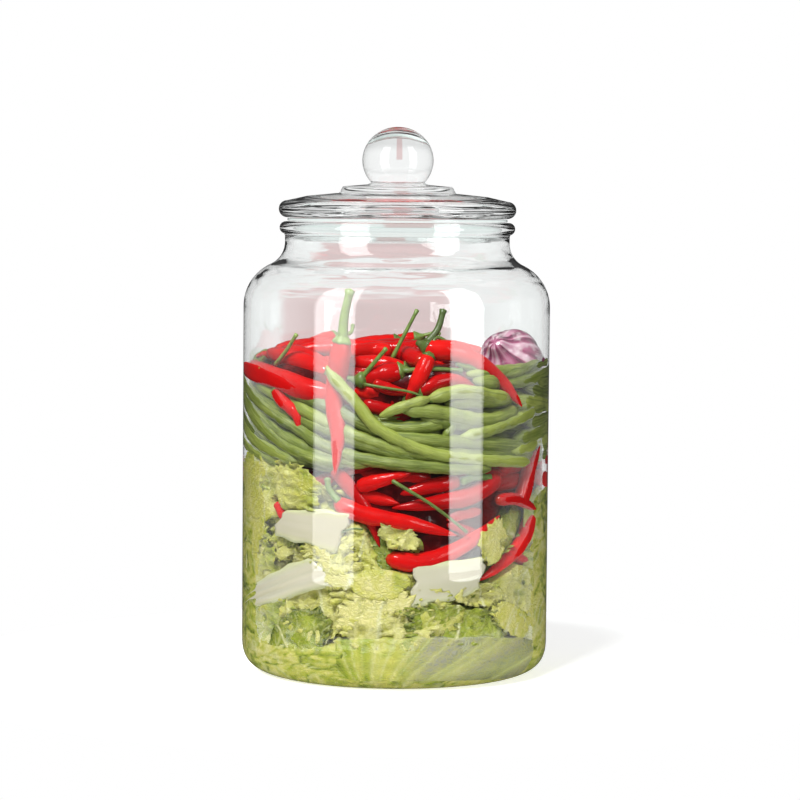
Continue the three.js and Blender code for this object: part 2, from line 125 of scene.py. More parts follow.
BOTTOM_COLUMNS = 240
FAN = (-24, 68)

# Camera, from the jar's outline in the photograph
CAMERA_DISTANCE = 1650.0
CAMERA_HEIGHT = 262.0
CAMERA_ASIDE = 1.3
CAMERA_PITCH = math.radians(3.83)
CAMERA_ROLL = -0.0085
LENS = 133.65

LATHE_STEPS = 160
UNEVEN_CELLS = (28.0, 28.0, 170.0)
UNEVEN_DEPTH = 0.0005
UNEVEN_FROM = (0.200, 0.215)

# Studio, in metres and in parts of full white
FLOOR_SHEET = 0.26
WORLD_ABOVE = 0.4
WORLD_DIM = 0.05
WARM_LEFT = (-0.092, -0.072)
WARM_RIGHT = (0.034, 0.022)
WARM_TOP = (0.02, -0.015)
WARM_TINT = (0.83, 0.66, 0.66)


# Numbers


def smooth_step(x):
    x = np.clip(x, 0.0, 1.0)
    return x * x * (3 - 2 * x)


def hump(degrees, centre, width):
    away = (degrees - centre + 540) % 360 - 180
    return np.exp(-((away / width) ** 2))


def turns(count):
    """Angles spread evenly over a full turn."""
    return 2 * np.pi * np.arange(count) / count


def hashed(ix, iy, seed):
    """A random number from 0 to 1 for each whole-number cell."""
    h = (ix * 374761393 + iy * 668265263 + seed * 974634777) & 0xFFFFFFFF
    h = ((h ^ (h >> 13)) * 1274126177) & 0xFFFFFFFF
    return ((h ^ (h >> 16)) & 0xFFFF) / 65535.0


def noise(x, y, seed=0):
    """Smooth noise from -1 to 1 with cells of size 1."""
    ix, iy = np.floor(x).astype(np.int64), np.floor(y).astype(np.int64)
    fx, fy = smooth_step(x - ix), smooth_step(y - iy)
    low, high = (hashed(ix, j, seed) * (1 - fx) + hashed(ix + 1, j, seed) * fx for j in (iy, iy + 1))
    return 2 * (low * (1 - fy) + high * fy) - 1


def cells(x, y, seed=0):
    """For each point how far it is from the edge of its cell, 0 on the edge,
    and the cell's own random number from 0 to 1."""
    ix, iy = np.floor(x).astype(np.int64), np.floor(y).astype(np.int64)
    nearest, second, own = np.full(x.shape, 9.0), np.full(x.shape, 9.0), np.zeros(x.shape)
    for dx in (-1, 0, 1):
        for dy in (-1, 0, 1):
            cx, cy = ix + dx, iy + dy
            px = cx + 0.15 + 0.7 * hashed(cx, cy, seed)
            py = cy + 0.15 + 0.7 * hashed(cx, cy, seed + 7)
            d = np.hypot(px - x, py - y)
            own = np.where(d < nearest, hashed(cx, cy, seed + 3), own)
            second = np.minimum(second, np.maximum(nearest, d))
            nearest = np.minimum(nearest, d)
    return second - nearest, own


def ridges(x, y, seed=0):
    """Sharp crests at 1 that wander between hollows, as on crumpled leaf."""
    broken = 0.7 * noise(x, y, seed) + 0.3 * noise(2.1 * x, 2.1 * y, seed + 31)
    return 1 - np.minimum(1, 1.8 * np.abs(broken))


def spline(points, count):
    """Evenly spaced points on a smooth curve through the given ones."""
    p = np.asarray(points, float)
    p = np.vstack([2 * p[0] - p[1], p, 2 * p[-1] - p[-2]])
    fine = []
    for i in range(1, len(p) - 2):
        t = np.linspace(0, 1, 24, endpoint=i == len(p) - 3)[:, None]
        a, b, c, d = p[i - 1 : i + 3]
        bent = 2 * b + (c - a) * t + (2 * a - 5 * b + 4 * c - d) * t**2
        fine.append(0.5 * (bent + (3 * b - a - 3 * c + d) * t**3))
    fine = np.vstack(fine)
    along = np.r_[0, np.cumsum(np.linalg.norm(np.diff(fine, axis=0), axis=1))]
    places = np.linspace(0, along[-1], count)
    return np.stack([np.interp(places, along, fine[:, k]) for k in range(p.shape[1])], 1)


def arc(centre, radius, start, stop, steps, stretch=1.0):
    a = np.radians(np.linspace(start, stop, steps + 1))
    return [(centre[0] + radius * math.cos(t), centre[1] + radius * stretch * math.sin(t)) for t in a]


# Places in the jar


def inner_radius(z):
    up = np.clip((np.asarray(z, float) - FLOOR) / FLOOR_CORNER[1], 0, 1)
    across = (1 - (1 - up) ** CORNER_POWER) ** (1 / CORNER_POWER)
    return WALL_RADIUS - FLOOR_CORNER[0] * (1 - across)


def round_axis(degrees, radius, z):
    a = np.radians(degrees)
    return np.stack(np.broadcast_arrays(radius * np.sin(a), -radius * np.cos(a), z), -1)


def at_wall(degrees, z, inset):
    return round_axis(degrees, np.maximum(inner_radius(z) - inset, 0), z)


def kept_inside(points):
    """Points drawn back to just inside the surface of the glass. What would
    reach further out stays a little further out."""
    radius = np.hypot(points[:, 0], points[:, 1])
    touching = inner_radius(points[:, 2]) + LEAST_DEEP
    beyond = np.maximum(0, radius - touching)
    pressed_flat = touching + (DEEPEST - LEAST_DEEP) * (1 - np.exp(-beyond / PRESS_SCALE))
    share = np.where(radius > touching, pressed_flat / np.maximum(radius, 1e-6), 1.0)
    return points * np.stack([share, share, np.ones_like(share)], 1)


# Heights of the layers, at a share f of the way from the axis to the wall


def cabbage_low(degrees, f):
    return FLOOR + 5.0 + 6.0 * np.asarray(f) + 0 * degrees


def cabbage_top(degrees, f):
    crest = 112 + 4 * hump(degrees, -60, 30)
    dip = 50 * hump(degrees, 20, 32) + 24 * hump(degrees, 165, 40)
    return crest - dip * f


def beans_low(degrees, f):
    wall = 119 + 9 * hump(degrees, 85, 26) + 4 * hump(degrees, -100, 50)
    return 120 + (wall - 120) * f


def beans_top(degrees, f):
    wall = 163 - 15 * hump(degrees, 2, 22) + 2 * np.sin(np.radians(4 * degrees))
    return 152 + (wall - 152) * f * f


def heap_top(degrees, f):
    wall = 171 - 12 * hump(degrees, 75, 22) + 3 * np.sin(np.radians(5 * degrees))
    return HEAP_TOP + (wall - HEAP_TOP) * f * f


def chillies_top(degrees, f):
    return np.maximum(beans_low(degrees, f), cabbage_top(degrees, f) + 3)


# Meshes


class Pile:
    """Closed meshes gathered into one piece, with values for its material."""

    def __init__(self, *names, inside=True):
        self.inside = inside
        self.points = []
        self.faces = []
        self.values = {name: [] for name in names}
        self.count = 0

    def add(self, points, faces, **values):
        points = kept_inside(np.asarray(points, float).reshape(-1, 3)) if self.inside else points
        self.points.append(points)
        self.faces += [tuple(i + self.count for i in face) for face in faces]
        for name, kept in self.values.items():
            given = np.asarray(values.get(name, 0.0), float).ravel()
            kept.append(np.broadcast_to(given, len(points)))
        self.count += len(points)

    def add_tube(self, path, radii, sides, **values):
        self.add(sweep(path, radii, sides), tube_faces(len(path), sides), **values)

    def add_sheet(self, degrees, z, depth, thickness, **values):
        """A sheet by the wall as one closed skin, with the same values on both sides."""
        outer, inner = at_wall(degrees, z, depth), at_wall(degrees, z, depth + thickness)
        both = {name: np.tile(kept.ravel(), 2) for name, kept in values.items()}
        points = np.vstack([outer.reshape(-1, 3), inner.reshape(-1, 3)])
        self.add(points, sheet_faces(*outer.shape[:2]), **both)

    def piece(self, name, material, slot, *nodes):
        mesh = bpy.data.meshes.new(name)
        mesh.from_pydata(np.vstack(self.points) * MM, [], self.faces)
        mesh.update()
        for value, kept in self.values.items():
            layer = mesh.attributes.new(value, "FLOAT", "POINT")
            layer.data.foreach_set("value", np.concatenate(kept))
        mesh.shade_smooth()
        mesh.materials.append(material)
        obj = in_scene(bpy.data.objects.new(name, mesh))
        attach(obj, BODY)
        if nodes:
            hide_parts(*nodes)
        return obj


def in_scene(obj):
    bpy.context.scene.collection.objects.link(obj)
    return obj


def grid_faces(rows, columns, wrap=True, start=0):
    """Quads over a grid of points; wrap closes each row on itself."""
    faces = []
    for i in range(rows - 1):
        low = start + i * columns
        for j in range(columns if wrap else columns - 1):
            k = (j + 1) % columns
            faces.append((low + j, low + k, low + columns + k, low + columns + j))
    return faces


def sheet_faces(rows, columns):
    """Two grids of points, outer and inner, joined round their edge."""
    count = rows * columns
    faces = grid_faces(rows, columns, wrap=False)
    faces += [tuple(i + count for i in reversed(face)) for face in faces]
    edge = list(range(columns))
    edge += [columns * i + columns - 1 for i in range(1, rows)]
    edge += [count - 1 - j for j in range(1, columns)]
    edge += [columns * (rows - 1 - i) for i in range(1, rows - 1)]
    for here, there in zip(edge, edge[1:] + edge[:1]):
        faces.append((there, here, here + count, there + count))
    return faces


def tube_faces(rings, sides):
    """Faces of a tube with one point at each end, first and last."""
    faces = [(0, 1 + (j + 1) % sides, 1 + j) for j in range(sides)]
    faces += grid_faces(rings, sides, start=1)
    last = 1 + (rings - 1) * sides
    end = last + sides
    faces += [(end, last + j, last + (j + 1) % sides) for j in range(sides)]
    return faces


def sweep(path, radii, sides):
    """Points of a tube along a path, with one more point at each end."""
    tangents = np.gradient(path, axis=0)
    tangents /= np.linalg.norm(tangents, axis=1)[:, None]
    side = np.cross(tangents[0], [0.0, 0.0, 1.0])
    if np.linalg.norm(side) < 0.1:
        side = np.cross(tangents[0], [1.0, 0.0, 0.0])
    a = turns(sides)
    rings = []
    for centre, tangent, radius in zip(path, tangents, radii):
        side = side - tangent * side.dot(tangent)
        side /= np.linalg.norm(side)
        around = np.outer(np.cos(a), side) + np.outer(np.sin(a), np.cross(tangent, side))
        rings.append(centre + around * np.reshape(radius, (-1, 1)))
    first = path[0] - tangents[0] * np.mean(radii[0]) * 0.4
    last = path[-1] + tangents[-1] * np.mean(radii[-1]) * 0.4
    return np.vstack([first, *rings, last])


def lathe(name, profile, material, node):
    """A body turned from a closed outline, or one that starts and ends on the axis."""
    a = turns(LATHE_STEPS)
    on_axis = profile[0][0] == 0
    rings = [
        np.stack([r * np.cos(a), r * np.sin(a), np.full(LATHE_STEPS, z)], 1)
        for r, z in (profile[1:-1] if on_axis else profile)
    ]
    if on_axis:
        points = np.vstack([(0.0, 0.0, profile[0][1]), *rings, (0.0, 0.0, profile[-1][1])])
        faces = tube_faces(len(rings), LATHE_STEPS)
    else:
        points = np.vstack(rings)
        closed = grid_faces(len(rings) + 1, LATHE_STEPS)
        faces = [tuple(i % len(points) for i in face) for face in closed]
    body = Pile(inside=False)
    body.add(points, faces)
    return body.piece(name, material, node, node)


# Materials


class Shader:
    """A node tree, built link by link. What goes into a node's input is the
    output of another node, a number or a colour."""

    def __init__(self, owner, output="OutputMaterial"):
        self.owner = owner
        owner.use_nodes = True
        self.tree = owner.node_tree
        self.tree.nodes.clear()
        self.output = self.node(output)

    def node(self, kind, inputs=(), **settings):
        made = self.tree.nodes.new("ShaderNode" + kind)
        for key, value in settings.items():
            setattr(made, key, value)
        for key, given in dict(inputs).items():
            socket = made.inputs[key]
            if isinstance(given, bpy.types.NodeSocket):
                self.tree.links.new(given, socket)
            else:
                socket.default_value = (*given, 1.0) if socket.type == "RGBA" else given
        return made

    def finish(self, surface):
        self.tree.links.new(surface, self.output.inputs["Surface"])
        return self.owner

    def principled(self, colour, **values):
        inputs = {key.replace("_", " "): value for key, value in values.items()}
        return self.node("BsdfPrincipled", {"Base Color": colour, **inputs}).outputs[0]

    def mixed(self, share, first, second):
        return self.node("MixShader", {0: share, 1: first, 2: second}).outputs[0]

    def math(self, operation, *inputs, **settings):
        return self.node("Math", enumerate(inputs), operation=operation, **settings).outputs[0]

    def vector(self, operation, *inputs):
        return self.node("VectorMath", enumerate(inputs), operation=operation).outputs[0]

    def place(self, kind="Object"):
        return self.node("TexCoord").outputs[kind]

    def value(self, name):
        return self.node("Attribute", attribute_name=name).outputs["Fac"]

    def noise(self, scale, detail=3.0, at=None):
        inputs = {"Scale": scale, "Detail": detail, "Vector": at or self.place()}
        return self.node("TexNoise", inputs).outputs["Fac"]

    def pod_noise(self, along, around):
        """Noise over a pod's own length and girth, each with its own scale."""
        ways = (("along", along), ("around", around))
        scaled = [self.math("MULTIPLY", self.value(name), scale) for name, scale in ways]
        return self.noise(1.0, 4.0, self.node("CombineXYZ", enumerate(scaled)).outputs[0])

    def ramp(self, source, *stops):
        made = self.node("ValToRGB", {"Fac": source})
        band = made.color_ramp
        while len(band.elements) < len(stops):
            band.elements.new(0.5)
        for element, (place, colour) in zip(band.elements, stops):
            element.position = place
            element.color = (*colour, 1.0)
        return made.outputs["Color"]

    def mix(self, share, first, second, blend="MIX"):
        inputs = {0: share, 6: first, 7: second}
        return self.node("Mix", inputs, data_type="RGBA", blend_type=blend).outputs[2]

    def range(self, source, low, high, to_low=0.0, to_high=1.0, kind="LINEAR"):
        inputs = enumerate((source, low, high, to_low, to_high))
        return self.node("MapRange", inputs, interpolation_type=kind).outputs[0]

    def over(self, base, colour, source, *ends):
        """A colour laid over another where the source is strong; the ends are
        two values of the source, then the colour's share at each."""
        return self.mix(self.range(source, *ends), base, colour)

    def bump(self, source, strength, distance):
        inputs = {"Strength": strength, "Distance": distance, "Height": source}
        return self.node("Bump", inputs).outputs["Normal"]


def material_shader(name):
    return Shader(bpy.data.materials.new(name))


def glass_material(name, tint, roughness=0.0, ior=1.5):
    """Glass that lets lamps through to what it holds, a little uneven at the top."""
    shader = material_shader(name)
    height = shader.node("SeparateXYZ", {0: shader.place()}).outputs["Z"]
    ripples = shader.noise(1.0, 1.0, shader.vector("MULTIPLY", shader.place(), UNEVEN_CELLS))
    moulded = shader.math("MULTIPLY", ripples, shader.range(height, *UNEVEN_FROM))
    body = shader.principled(
        tint,
        Roughness=roughness,
        IOR=ior,
        Transmission_Weight=1.0,
        Normal=shader.bump(moulded, 1.0, UNEVEN_DEPTH),
    )
    path = shader.node("LightPath").outputs
    rough = shader.math("SUBTRACT", path["Is Glossy Ray"], path["Is Singular Ray"], use_clamp=True)
    scattered = shader.math("MAXIMUM", rough, path["Is Diffuse Ray"])
    unbent = shader.math("MAXIMUM", scattered, path["Is Shadow Ray"])
    clear = shader.node("BsdfTransparent", {0: tint}).outputs[0]
    return shader.finish(shader.mixed(unbent, body, clear))


def chilli_material():
    shader = material_shader("chilli_skin")
    # Tone 0, nearly black, is given only to the cores: painted shade behind the chillies.
    red = shader.ramp(
        shader.value("tone"),
        (0.0, (0.06, 0.001, 0.002)),
        (0.3, (0.36, 0.002, 0.003)),
        (0.65, (0.55, 0.003, 0.003)),
        (1.0, (0.66, 0.008, 0.006)),
    )
    uneven = shader.over(red, (0.40, 0.006, 0.008), shader.noise(90.0), 0.45, 0.75, 0.0, 0.45)
    along = shader.value("along")
    dents = shader.bump(shader.noise(210.0, 2.5), 0.3, 0.0012)
    skin = shader.principled(
        shader.over(uneven, (0.30, 0.035, 0.008), along, 0.0, 0.05, 0.5, 0.0),
        Roughness=0.3,
        IOR=1.4,
        Coat_Weight=0.6,
        Coat_Roughness=0.06,
        Specular_IOR_Level=0.06,
        Subsurface_Weight=0.08,
        Subsurface_Radius=(1.0, 0.15, 0.1),
        Subsurface_Scale=0.003,
        Normal=dents,
        Coat_Normal=dents,
    )
    return shader.finish(skin)


def stalk_material():
    shader = material_shader("chilli_stalk")
    green = shader.ramp(
        shader.value("tone"),
        (0.0, (0.055, 0.085, 0.015)),
        (0.5, (0.15, 0.24, 0.045)),
        (1.0, (0.32, 0.42, 0.10)),
    )
    colour = shader.over(green, (0.07, 0.07, 0.02), shader.noise(420.0), 0.42, 0.7, 0.0, 0.5)
    fine = shader.bump(shader.noise(500.0), 0.25, 0.0005)
    return shader.finish(shader.principled(colour, Roughness=0.42, Normal=fine))


def bean_material():
    shader = material_shader("bean_pod")
    green = shader.ramp(
        shader.value("tone"),
        (0.0, (0.06, 0.09, 0.008)),
        (0.5, (0.14, 0.185, 0.02)),
        (1.0, (0.33, 0.38, 0.065)),
    )
    streaks, mottles, seam = shader.pod_noise(0.06, 0.9), shader.noise(110.0, 5.0), shader.value("seam")
    streaked = shader.over(green, (0.39, 0.43, 0.11), streaks, 0.4, 0.75, 0.0, 0.75)
    mottled = shader.over(streaked, (0.09, 0.11, 0.014), mottles, 0.5, 0.75, 0.0, 0.5)
    # Dark green in the pod's two grooves: painted shade.
    colour = shader.over(mottled, (0.07, 0.10, 0.012), seam, 0.4, 0.9, 0.0, 0.85)
    wrinkles = shader.bump(shader.pod_noise(0.35, 1.8), 0.55, 0.0011)
    return shader.finish(shader.principled(colour, Roughness=0.34, Normal=wrinkles))


def leaf_material():
    shader = material_shader("cabbage_leaf")
    # Higher green is greener and darker; the darkest part also carries the painted shade of hollows,
    # gaps between leaves and the core.
    green = shader.ramp(
        shader.value("green"),
        (0.0, (0.60, 0.55, 0.22)),
        (0.3, (0.49, 0.465, 0.095)),
        (0.65, (0.25, 0.31, 0.018)),
        (1.0, (0.045, 0.085, 0.004)),
    )
    blotches = shader.noise(70.0, 4.0)
    uneven = shader.over(green, (0.56, 0.53, 0.19), blotches, 0.45, 0.75, 0.0, 0.2)
    veined = shader.mix(shader.value("vein"), uneven, (0.60, 0.58, 0.33))
    pale = shader.mix(shader.value("grey"), veined, (0.26, 0.26, 0.215))
    spread = shader.vector("MULTIPLY", shader.place(), (300.0, 300.0, 420.0))
    drift = shader.node("TexNoise", {"Scale": 0.7, "Vector": spread}).outputs["Color"]
    wandering = shader.vector("MULTIPLY_ADD", drift, (2.4, 2.4, 2.4), spread)
    inputs = {"Scale": 1.0, "Vector": wandering}
    # Fold lines, for the bump and for a darker yellow-green along them: painted shade in the creases.
    folds = shader.node("TexVoronoi", inputs, feature="DISTANCE_TO_EDGE").outputs["Distance"]
    skin = shader.principled(
        shader.over(pale, (0.38, 0.37, 0.05), folds, 0.0, 0.18, 0.42, 0.0),
        Roughness=0.42,
        IOR=1.4,
        Subsurface_Weight=0.06,
        Subsurface_Radius=(0.9, 1.0, 0.3),
        Subsurface_Scale=0.0015,
        Normal=shader.bump(shader.range(folds, 0.0, 0.35), 0.5, 0.0008),
    )
    return shader.finish(skin)


def rib_material():
    shader = material_shader("cabbage_rib")
    streak, edge = shader.value("streak"), shader.value("edge")
    white = shader.over((0.55, 0.51, 0.40), (0.47, 0.44, 0.29), streak, -1.0, 1.0, 0.0, 0.6)
    skin = shader.principled(
        shader.over(white, (0.56, 0.58, 0.26), edge, 0.6, 1.0, 0.0, 0.6),
        Roughness=0.32,
        IOR=1.4,
        Subsurface_Weight=0.2,
        Subsurface_Radius=(1.0, 1.0, 0.7),
        Subsurface_Scale=0.002,
        Normal=shader.bump(shader.noise(200.0), 0.2, 0.0006),
    )
    return shader.finish(skin)


def garlic_material():
    shader = material_shader("garlic_skin")
    pink = shader.ramp(
        shader.value("stripe"),
        (0.0, (0.70, 0.62, 0.64)),
        (0.35, (0.52, 0.24, 0.34)),
        (0.55, (0.30, 0.05, 0.13)),
        (1.0, (0.07, 0.015, 0.04)),
    )
    skin = shader.principled(
        shader.over(pink, (0.74, 0.68, 0.68), shader.noise(160.0, 5.0), 0.5, 0.65, 0.0, 0.5),
        Roughness=0.28,
        IOR=1.45,
        Coat_Weight=0.8,
        Coat_Roughness=0.12,
        Normal=shader.bump(shader.noise(300.0, 4.0), 0.4, 0.0008),
    )
    return shader.finish(skin)


# Glass


def round_corner(radius, corner, low, steps):
    wide, tall = corner
    a = np.radians(np.linspace(90, 0, steps + 1))
    across = np.clip(np.cos(a), 0, 1) ** (2 / CORNER_POWER)
    up = np.clip(np.sin(a), 0, 1) ** (2 / CORNER_POWER)
    return list(zip(radius - wide * (1 - across), low + tall * (1 - up)))


def shoulder(radius, neck_radius):
    centre = BODY_RADIUS - SHOULDER_RADIUS
    rise = NECK_HEIGHT - SHOULDER_START
    offset = neck_radius - centre
    bend = radius - centre
    fillet = (offset**2 + rise**2 - bend**2) / (2 * (bend - offset))
    turn = math.degrees(math.atan2(rise, offset + fillet))
    outer = arc((centre, SHOULDER_START), bend, 0, turn, 24)
    inner = arc((neck_radius + fillet, NECK_HEIGHT), fillet, turn + 180, 180, 12)
    return outer + inner[1:]


def wall_between(low, high, steps):
    """Points up a straight wall, so that its faces aren't long strips."""
    return list(zip(*(np.linspace(a, b, steps + 1)[1:-1] for a, b in zip(low, high))))


def make_jar(material):
    corner = round_corner(BODY_RADIUS, BASE_CORNER, 0.0, 20)
    neck = shoulder(BODY_RADIUS, NECK_RADIUS)
    outside = [
        (0.0, PUSH_UP),
        (16.0, PUSH_UP - 0.2),
        (BEARING_INNER_RADIUS - 8, PUSH_UP - 0.8),
        (BEARING_INNER_RADIUS - 2, 0.5),
        (BEARING_INNER_RADIUS, 0.0),
        *corner,
        *wall_between(corner[-1], neck[0], 12),
        *neck,
        (NECK_RADIUS, RIM_HEIGHT - RIM_RADIUS - 1),
        *arc((RIM_CENTRE, RIM_HEIGHT), RIM_RADIUS, -75, 90, 14),
    ]
    top = RIM_HEIGHT + RIM_RADIUS
    mouth = arc((MOUTH_RADIUS + MOUTH_ROUND, top - MOUTH_ROUND), MOUTH_ROUND, 90, 180, 5)
    inner_corner = round_corner(WALL_RADIUS, FLOOR_CORNER, FLOOR, 16)
    inner_neck = shoulder(WALL_RADIUS, MOUTH_RADIUS)
    inside = [
        (0.0, FLOOR + FLOOR_CROWN),
        (15.0, FLOOR + 0.8 * FLOOR_CROWN),
        (30.0, FLOOR + FLOOR_CROWN / 2),
        *inner_corner,
        *wall_between(inner_corner[-1], inner_neck[0], 12),
        *inner_neck,
    ]
    return lathe("jar_body", outside + mouth + inside[::-1], material, "jar_glass")


def make_lid(material):
    start = math.degrees(math.acos(KNOB_NECK_RADIUS / KNOB_RADIUS))
    hollow = PLUG_RADIUS - PLUG_WALL
    edge = arc((LID_EDGE_CENTRE, LID_UNDERSIDE + LID_EDGE_RADIUS), LID_EDGE_RADIUS, -90, 90, 16)
    slope = (50.0, LID_SLOPE_TOP - 1.6)
    profile = [
        (0.0, LID_HOLLOW_TOP + 1),
        (20.0, LID_HOLLOW_TOP + 0.8),
        (hollow - 8, LID_HOLLOW_TOP),
        *arc((hollow - 6, LID_HOLLOW_TOP - 6), 5.6, 80, 5, 8),
        (hollow, PLUG_BOTTOM + 1.2),
        *arc((hollow + LID_ROUND, PLUG_BOTTOM + LID_ROUND), LID_ROUND, 180, 270, 4),
        *arc((PLUG_RADIUS - LID_ROUND, PLUG_BOTTOM + LID_ROUND), LID_ROUND, 270, 360, 4),
        (PLUG_RADIUS, LID_UNDERSIDE - LID_ROUND),
        *arc((PLUG_RADIUS + LID_ROUND, LID_UNDERSIDE - LID_ROUND), LID_ROUND, 180, 90, 3),
        *edge,
        *wall_between(edge[-1], slope, 3),
        slope,
        *wall_between(slope, (LID_SLOPE_RADIUS, LID_SLOPE_TOP), 3),
        (LID_SLOPE_RADIUS, LID_SLOPE_TOP),
        *arc((LID_SLOPE_RADIUS - 0.5, LID_SLOPE_TOP + 1.6), 1.8, 265, 200, 4),
        *arc((DISC_RADIUS - 1.4, DISC_TOP - 1.4), 1.4, 15, 90, 5),
        (24.0, DISC_TOP + 0.5),
        (KNOB_NECK_RADIUS + 2.0, DISC_TOP + 1.2),
        *arc((0, KNOB_CENTRE), KNOB_RADIUS, -start, 88, 36, KNOB_HALF_HEIGHT / KNOB_RADIUS),
        (0.0, KNOB_CENTRE + KNOB_HALF_HEIGHT),
    ]
    return lathe("jar_lid", profile, material, "lid_glass")


def make_seal(material):
    corners = np.array([
        (SEAL_INNER_RADIUS, SEAL_BOTTOM),
        (SEAL_COLLAR_RADIUS, SEAL_BOTTOM),
        (SEAL_COLLAR_RADIUS, SEAL_FLANGE_BOTTOM),
        (SEAL_FLANGE_RADIUS, SEAL_FLANGE_BOTTOM),
        (SEAL_FLANGE_RADIUS, SEAL_TOP),
        (SEAL_INNER_RADIUS, SEAL_TOP),
    ])
    profile = []
    for i, corner in enumerate(corners):
        for other in (corners[i - 1], corners[(i + 1) % len(corners)]):
            way = other - corner
            profile.append(tuple(corner + SEAL_BEVEL * way / np.linalg.norm(way)))
    return lathe("jar_seal", profile, material, "lid_seal")


# Chillies


def pressed(degrees):
    """How much further out the filling is pressed at the jar's two sides."""
    return 2.9 * (hump(degrees, 80, 24) + hump(degrees, -80, 24))


def rod(radius, inset, *path, **more):
    """A chilli, bean or stalk by the wall, from places of degrees, height and,
    where it changes, inset. What hangs is seen in front of the beans below that height."""
    return {"radius": radius, "inset": inset, "path": path, **more}


def wall_path(row, count, lines=()):
    """The middle line of a rod, which goes behind what the lines say."""
    places = [(*place, row["inset"])[:3] for place in row["path"]]
    line = spline([(d * LINE_SCALE, z, inset) for d, z, inset in places], count)
    degrees = line[:, 0] / LINE_SCALE
    inset = line[:, 2] - pressed(degrees)
    if lines:
        inset = np.maximum(inset, pushed_back(degrees, line[:, 1], lines))
        inset = np.convolve(np.pad(inset, 2, mode="edge"), np.ones(5) / 5, mode="valid")
    return at_wall(degrees, line[:, 1], inset + row["radius"])


def add_chilli(fruit, stalks, path, radius, rng, cap=True):
    """A chilli from its stalk end to its tip, with its green cap."""
    t, a = np.linspace(0, 1, CHILLI_RINGS)[:, None], turns(CHILLI_SIDES)[None, :]
    seed = int(rng.integers(1000))
    dents = noise(7 * t + 0 * a, 1.3 * np.cos(a) + 0 * t, seed)
    dents += 0.5 * noise(19 * t + 0 * a, 2.0 * np.sin(a) + 0 * t, seed + 1)
    radii = radius * np.interp(t, TAPER_PLACES, TAPER_RADII) * (1 + 0.07 * dents)
    along = np.r_[0.0, np.repeat(t, CHILLI_SIDES), 1.0]
    fruit.add_tube(path, radii, CHILLI_SIDES, tone=rng.uniform(0.35, 1.0), along=along)
    if cap:
        add_cap(stalks, path, radius, rng)


def add_cap(stalks, path, radius, rng, tone=None):
    """The green cap over a chilli's end, with a stalk unless it is given a tone."""
    back = path[0] - path[2]
    back /= np.linalg.norm(back)
    centre = [path[1], path[0], path[0] + back * 0.25 * radius, path[0] + back * 0.8 * radius]
    profile = np.interp(np.linspace(0, 1, CAP_RINGS), (0, 0.3, 0.6, 1), (0.93, 0.72, 0.42, 0.24))
    radii = radius * profile[:, None] * (1 + 0.10 * np.cos(5 * turns(CAP_SIDES)))[None, :]
    own = rng.uniform(0.1, 0.6)
    line = spline(centre, CAP_RINGS)
    stalks.add_tube(line, radii, CAP_SIDES, tone=own if tone is None else tone)
    turn = rng.normal(0, 0.35, 3) - [0, 0, 0.4]
    length = rng.uniform(8, 16)
    if tone is None:
        stalk = [line[-1], line[-1] + back * length * 0.5, line[-1] + (back + turn) * length]
        add_stalk(stalks, stalk, 0.2 * radius + 0.35, own + 0.15)


def add_stalk(stalks, path, radius, tone):
    t = np.linspace(0, 1, STALK_RINGS)
    knob = 1 + 0.35 * smooth_step((t - 0.88) / 0.12)
    stalks.add_tube(spline(path, STALK_RINGS), radius * (1 - 0.3 * t**0.5) * knob, 8, tone=tone)


# The ones that show, as rods; a stalk is its radius, its tone and its places

TOP_CHILLIES = [
    rod(
        6.6, 0, (-12, 157, 8), (-26, 158, 6.5), (-38, 160.5, 1), (-55, 166, -1.5), (-84, 169.5, -1),
        (-108, 168), cap=False,
    ),
    rod(5.2, 9, (-30, 169), (-52, 176), (-84, 179)),
    rod(
        5.8, 0, (-22, 189, 1), (-23.6, 176, 1), (-25.5, 164, 3), (-25.5, 153, 1), (-23, 138, -1.5),
        (-22.8, 117, -5.2), hangs=152,
        stalk=(3.0, 0.75, (-22, 188, 6.5), (-21.4, 200, 6.5), (-19, 214, 6.5)),
    ),
    rod(3.8, 0, (-53.5, 160), (-49, 154), (-42, 147), (-40.5, 138), hangs=166),
    rod(5.0, 13, (4, 172), (-8, 175), (-26, 176)),
    rod(4.6, 0, (14, 180, 6), (10, 170, 3), (4, 155, 3)),
    rod(4.4, 4, (9, 161), (22, 167), (36, 162)),
    rod(
        6.0, 0, (2, 171.5, 6), (-8, 169, 5), (-20, 166, 6),
        stalk=(1.6, 0.4, (3, 172, 9), (14, 173, 9), (28, 172, 8)),
    ),
    rod(3.4, 4, (-9, 166), (-2, 162), (6, 160), cap=False),
    rod(4.6, 7, (-18, 161), (-8, 160), (2, 162), cap=False),
    rod(4.0, 7.5, (10, 163), (2, 160), (-6, 156), cap=False),
    rod(3.8, 8, (-3, 156), (6, 152), (14, 150), cap=False),
    rod(
        5.8, 0, (13, 185, 10), (17, 183, 8), (26, 182, 5), (37, 175, 3), (47, 165, 0),
        (54.5, 152, -5.2), hangs=170,
        stalk=(2.4, 0.08, (14, 187, 14), (19, 194, 15), (22, 204, 16)),
    ),
    rod(4.2, 6, (-14, 154), (-2, 151), (10, 149), cap=False),
    rod(3.9, 8, (12, 154), (3, 147), (-8, 143), cap=False),
    rod(4.2, 12, (-8, 163), (4, 166), (15, 165)),
    rod(5, 28, (-3, 181), (-18, 181), (-38, 180), cap=False),
    rod(5, 34, (24, 182), (5, 182), (-16, 184), cap=False),
    rod(4.2, 9, (-16, 159), (-6, 157), (6, 154), cap=False),
    rod(4.6, 16, (-44, 176), (-56, 177), (-74, 174)),
    rod(4.6, 14, (35, 169), (25, 171), (12, 168)),
]

DARK_CAP = rod(4.4, 3, (-13, 167), (-17, 167), (-20, 168), tone=0.3)

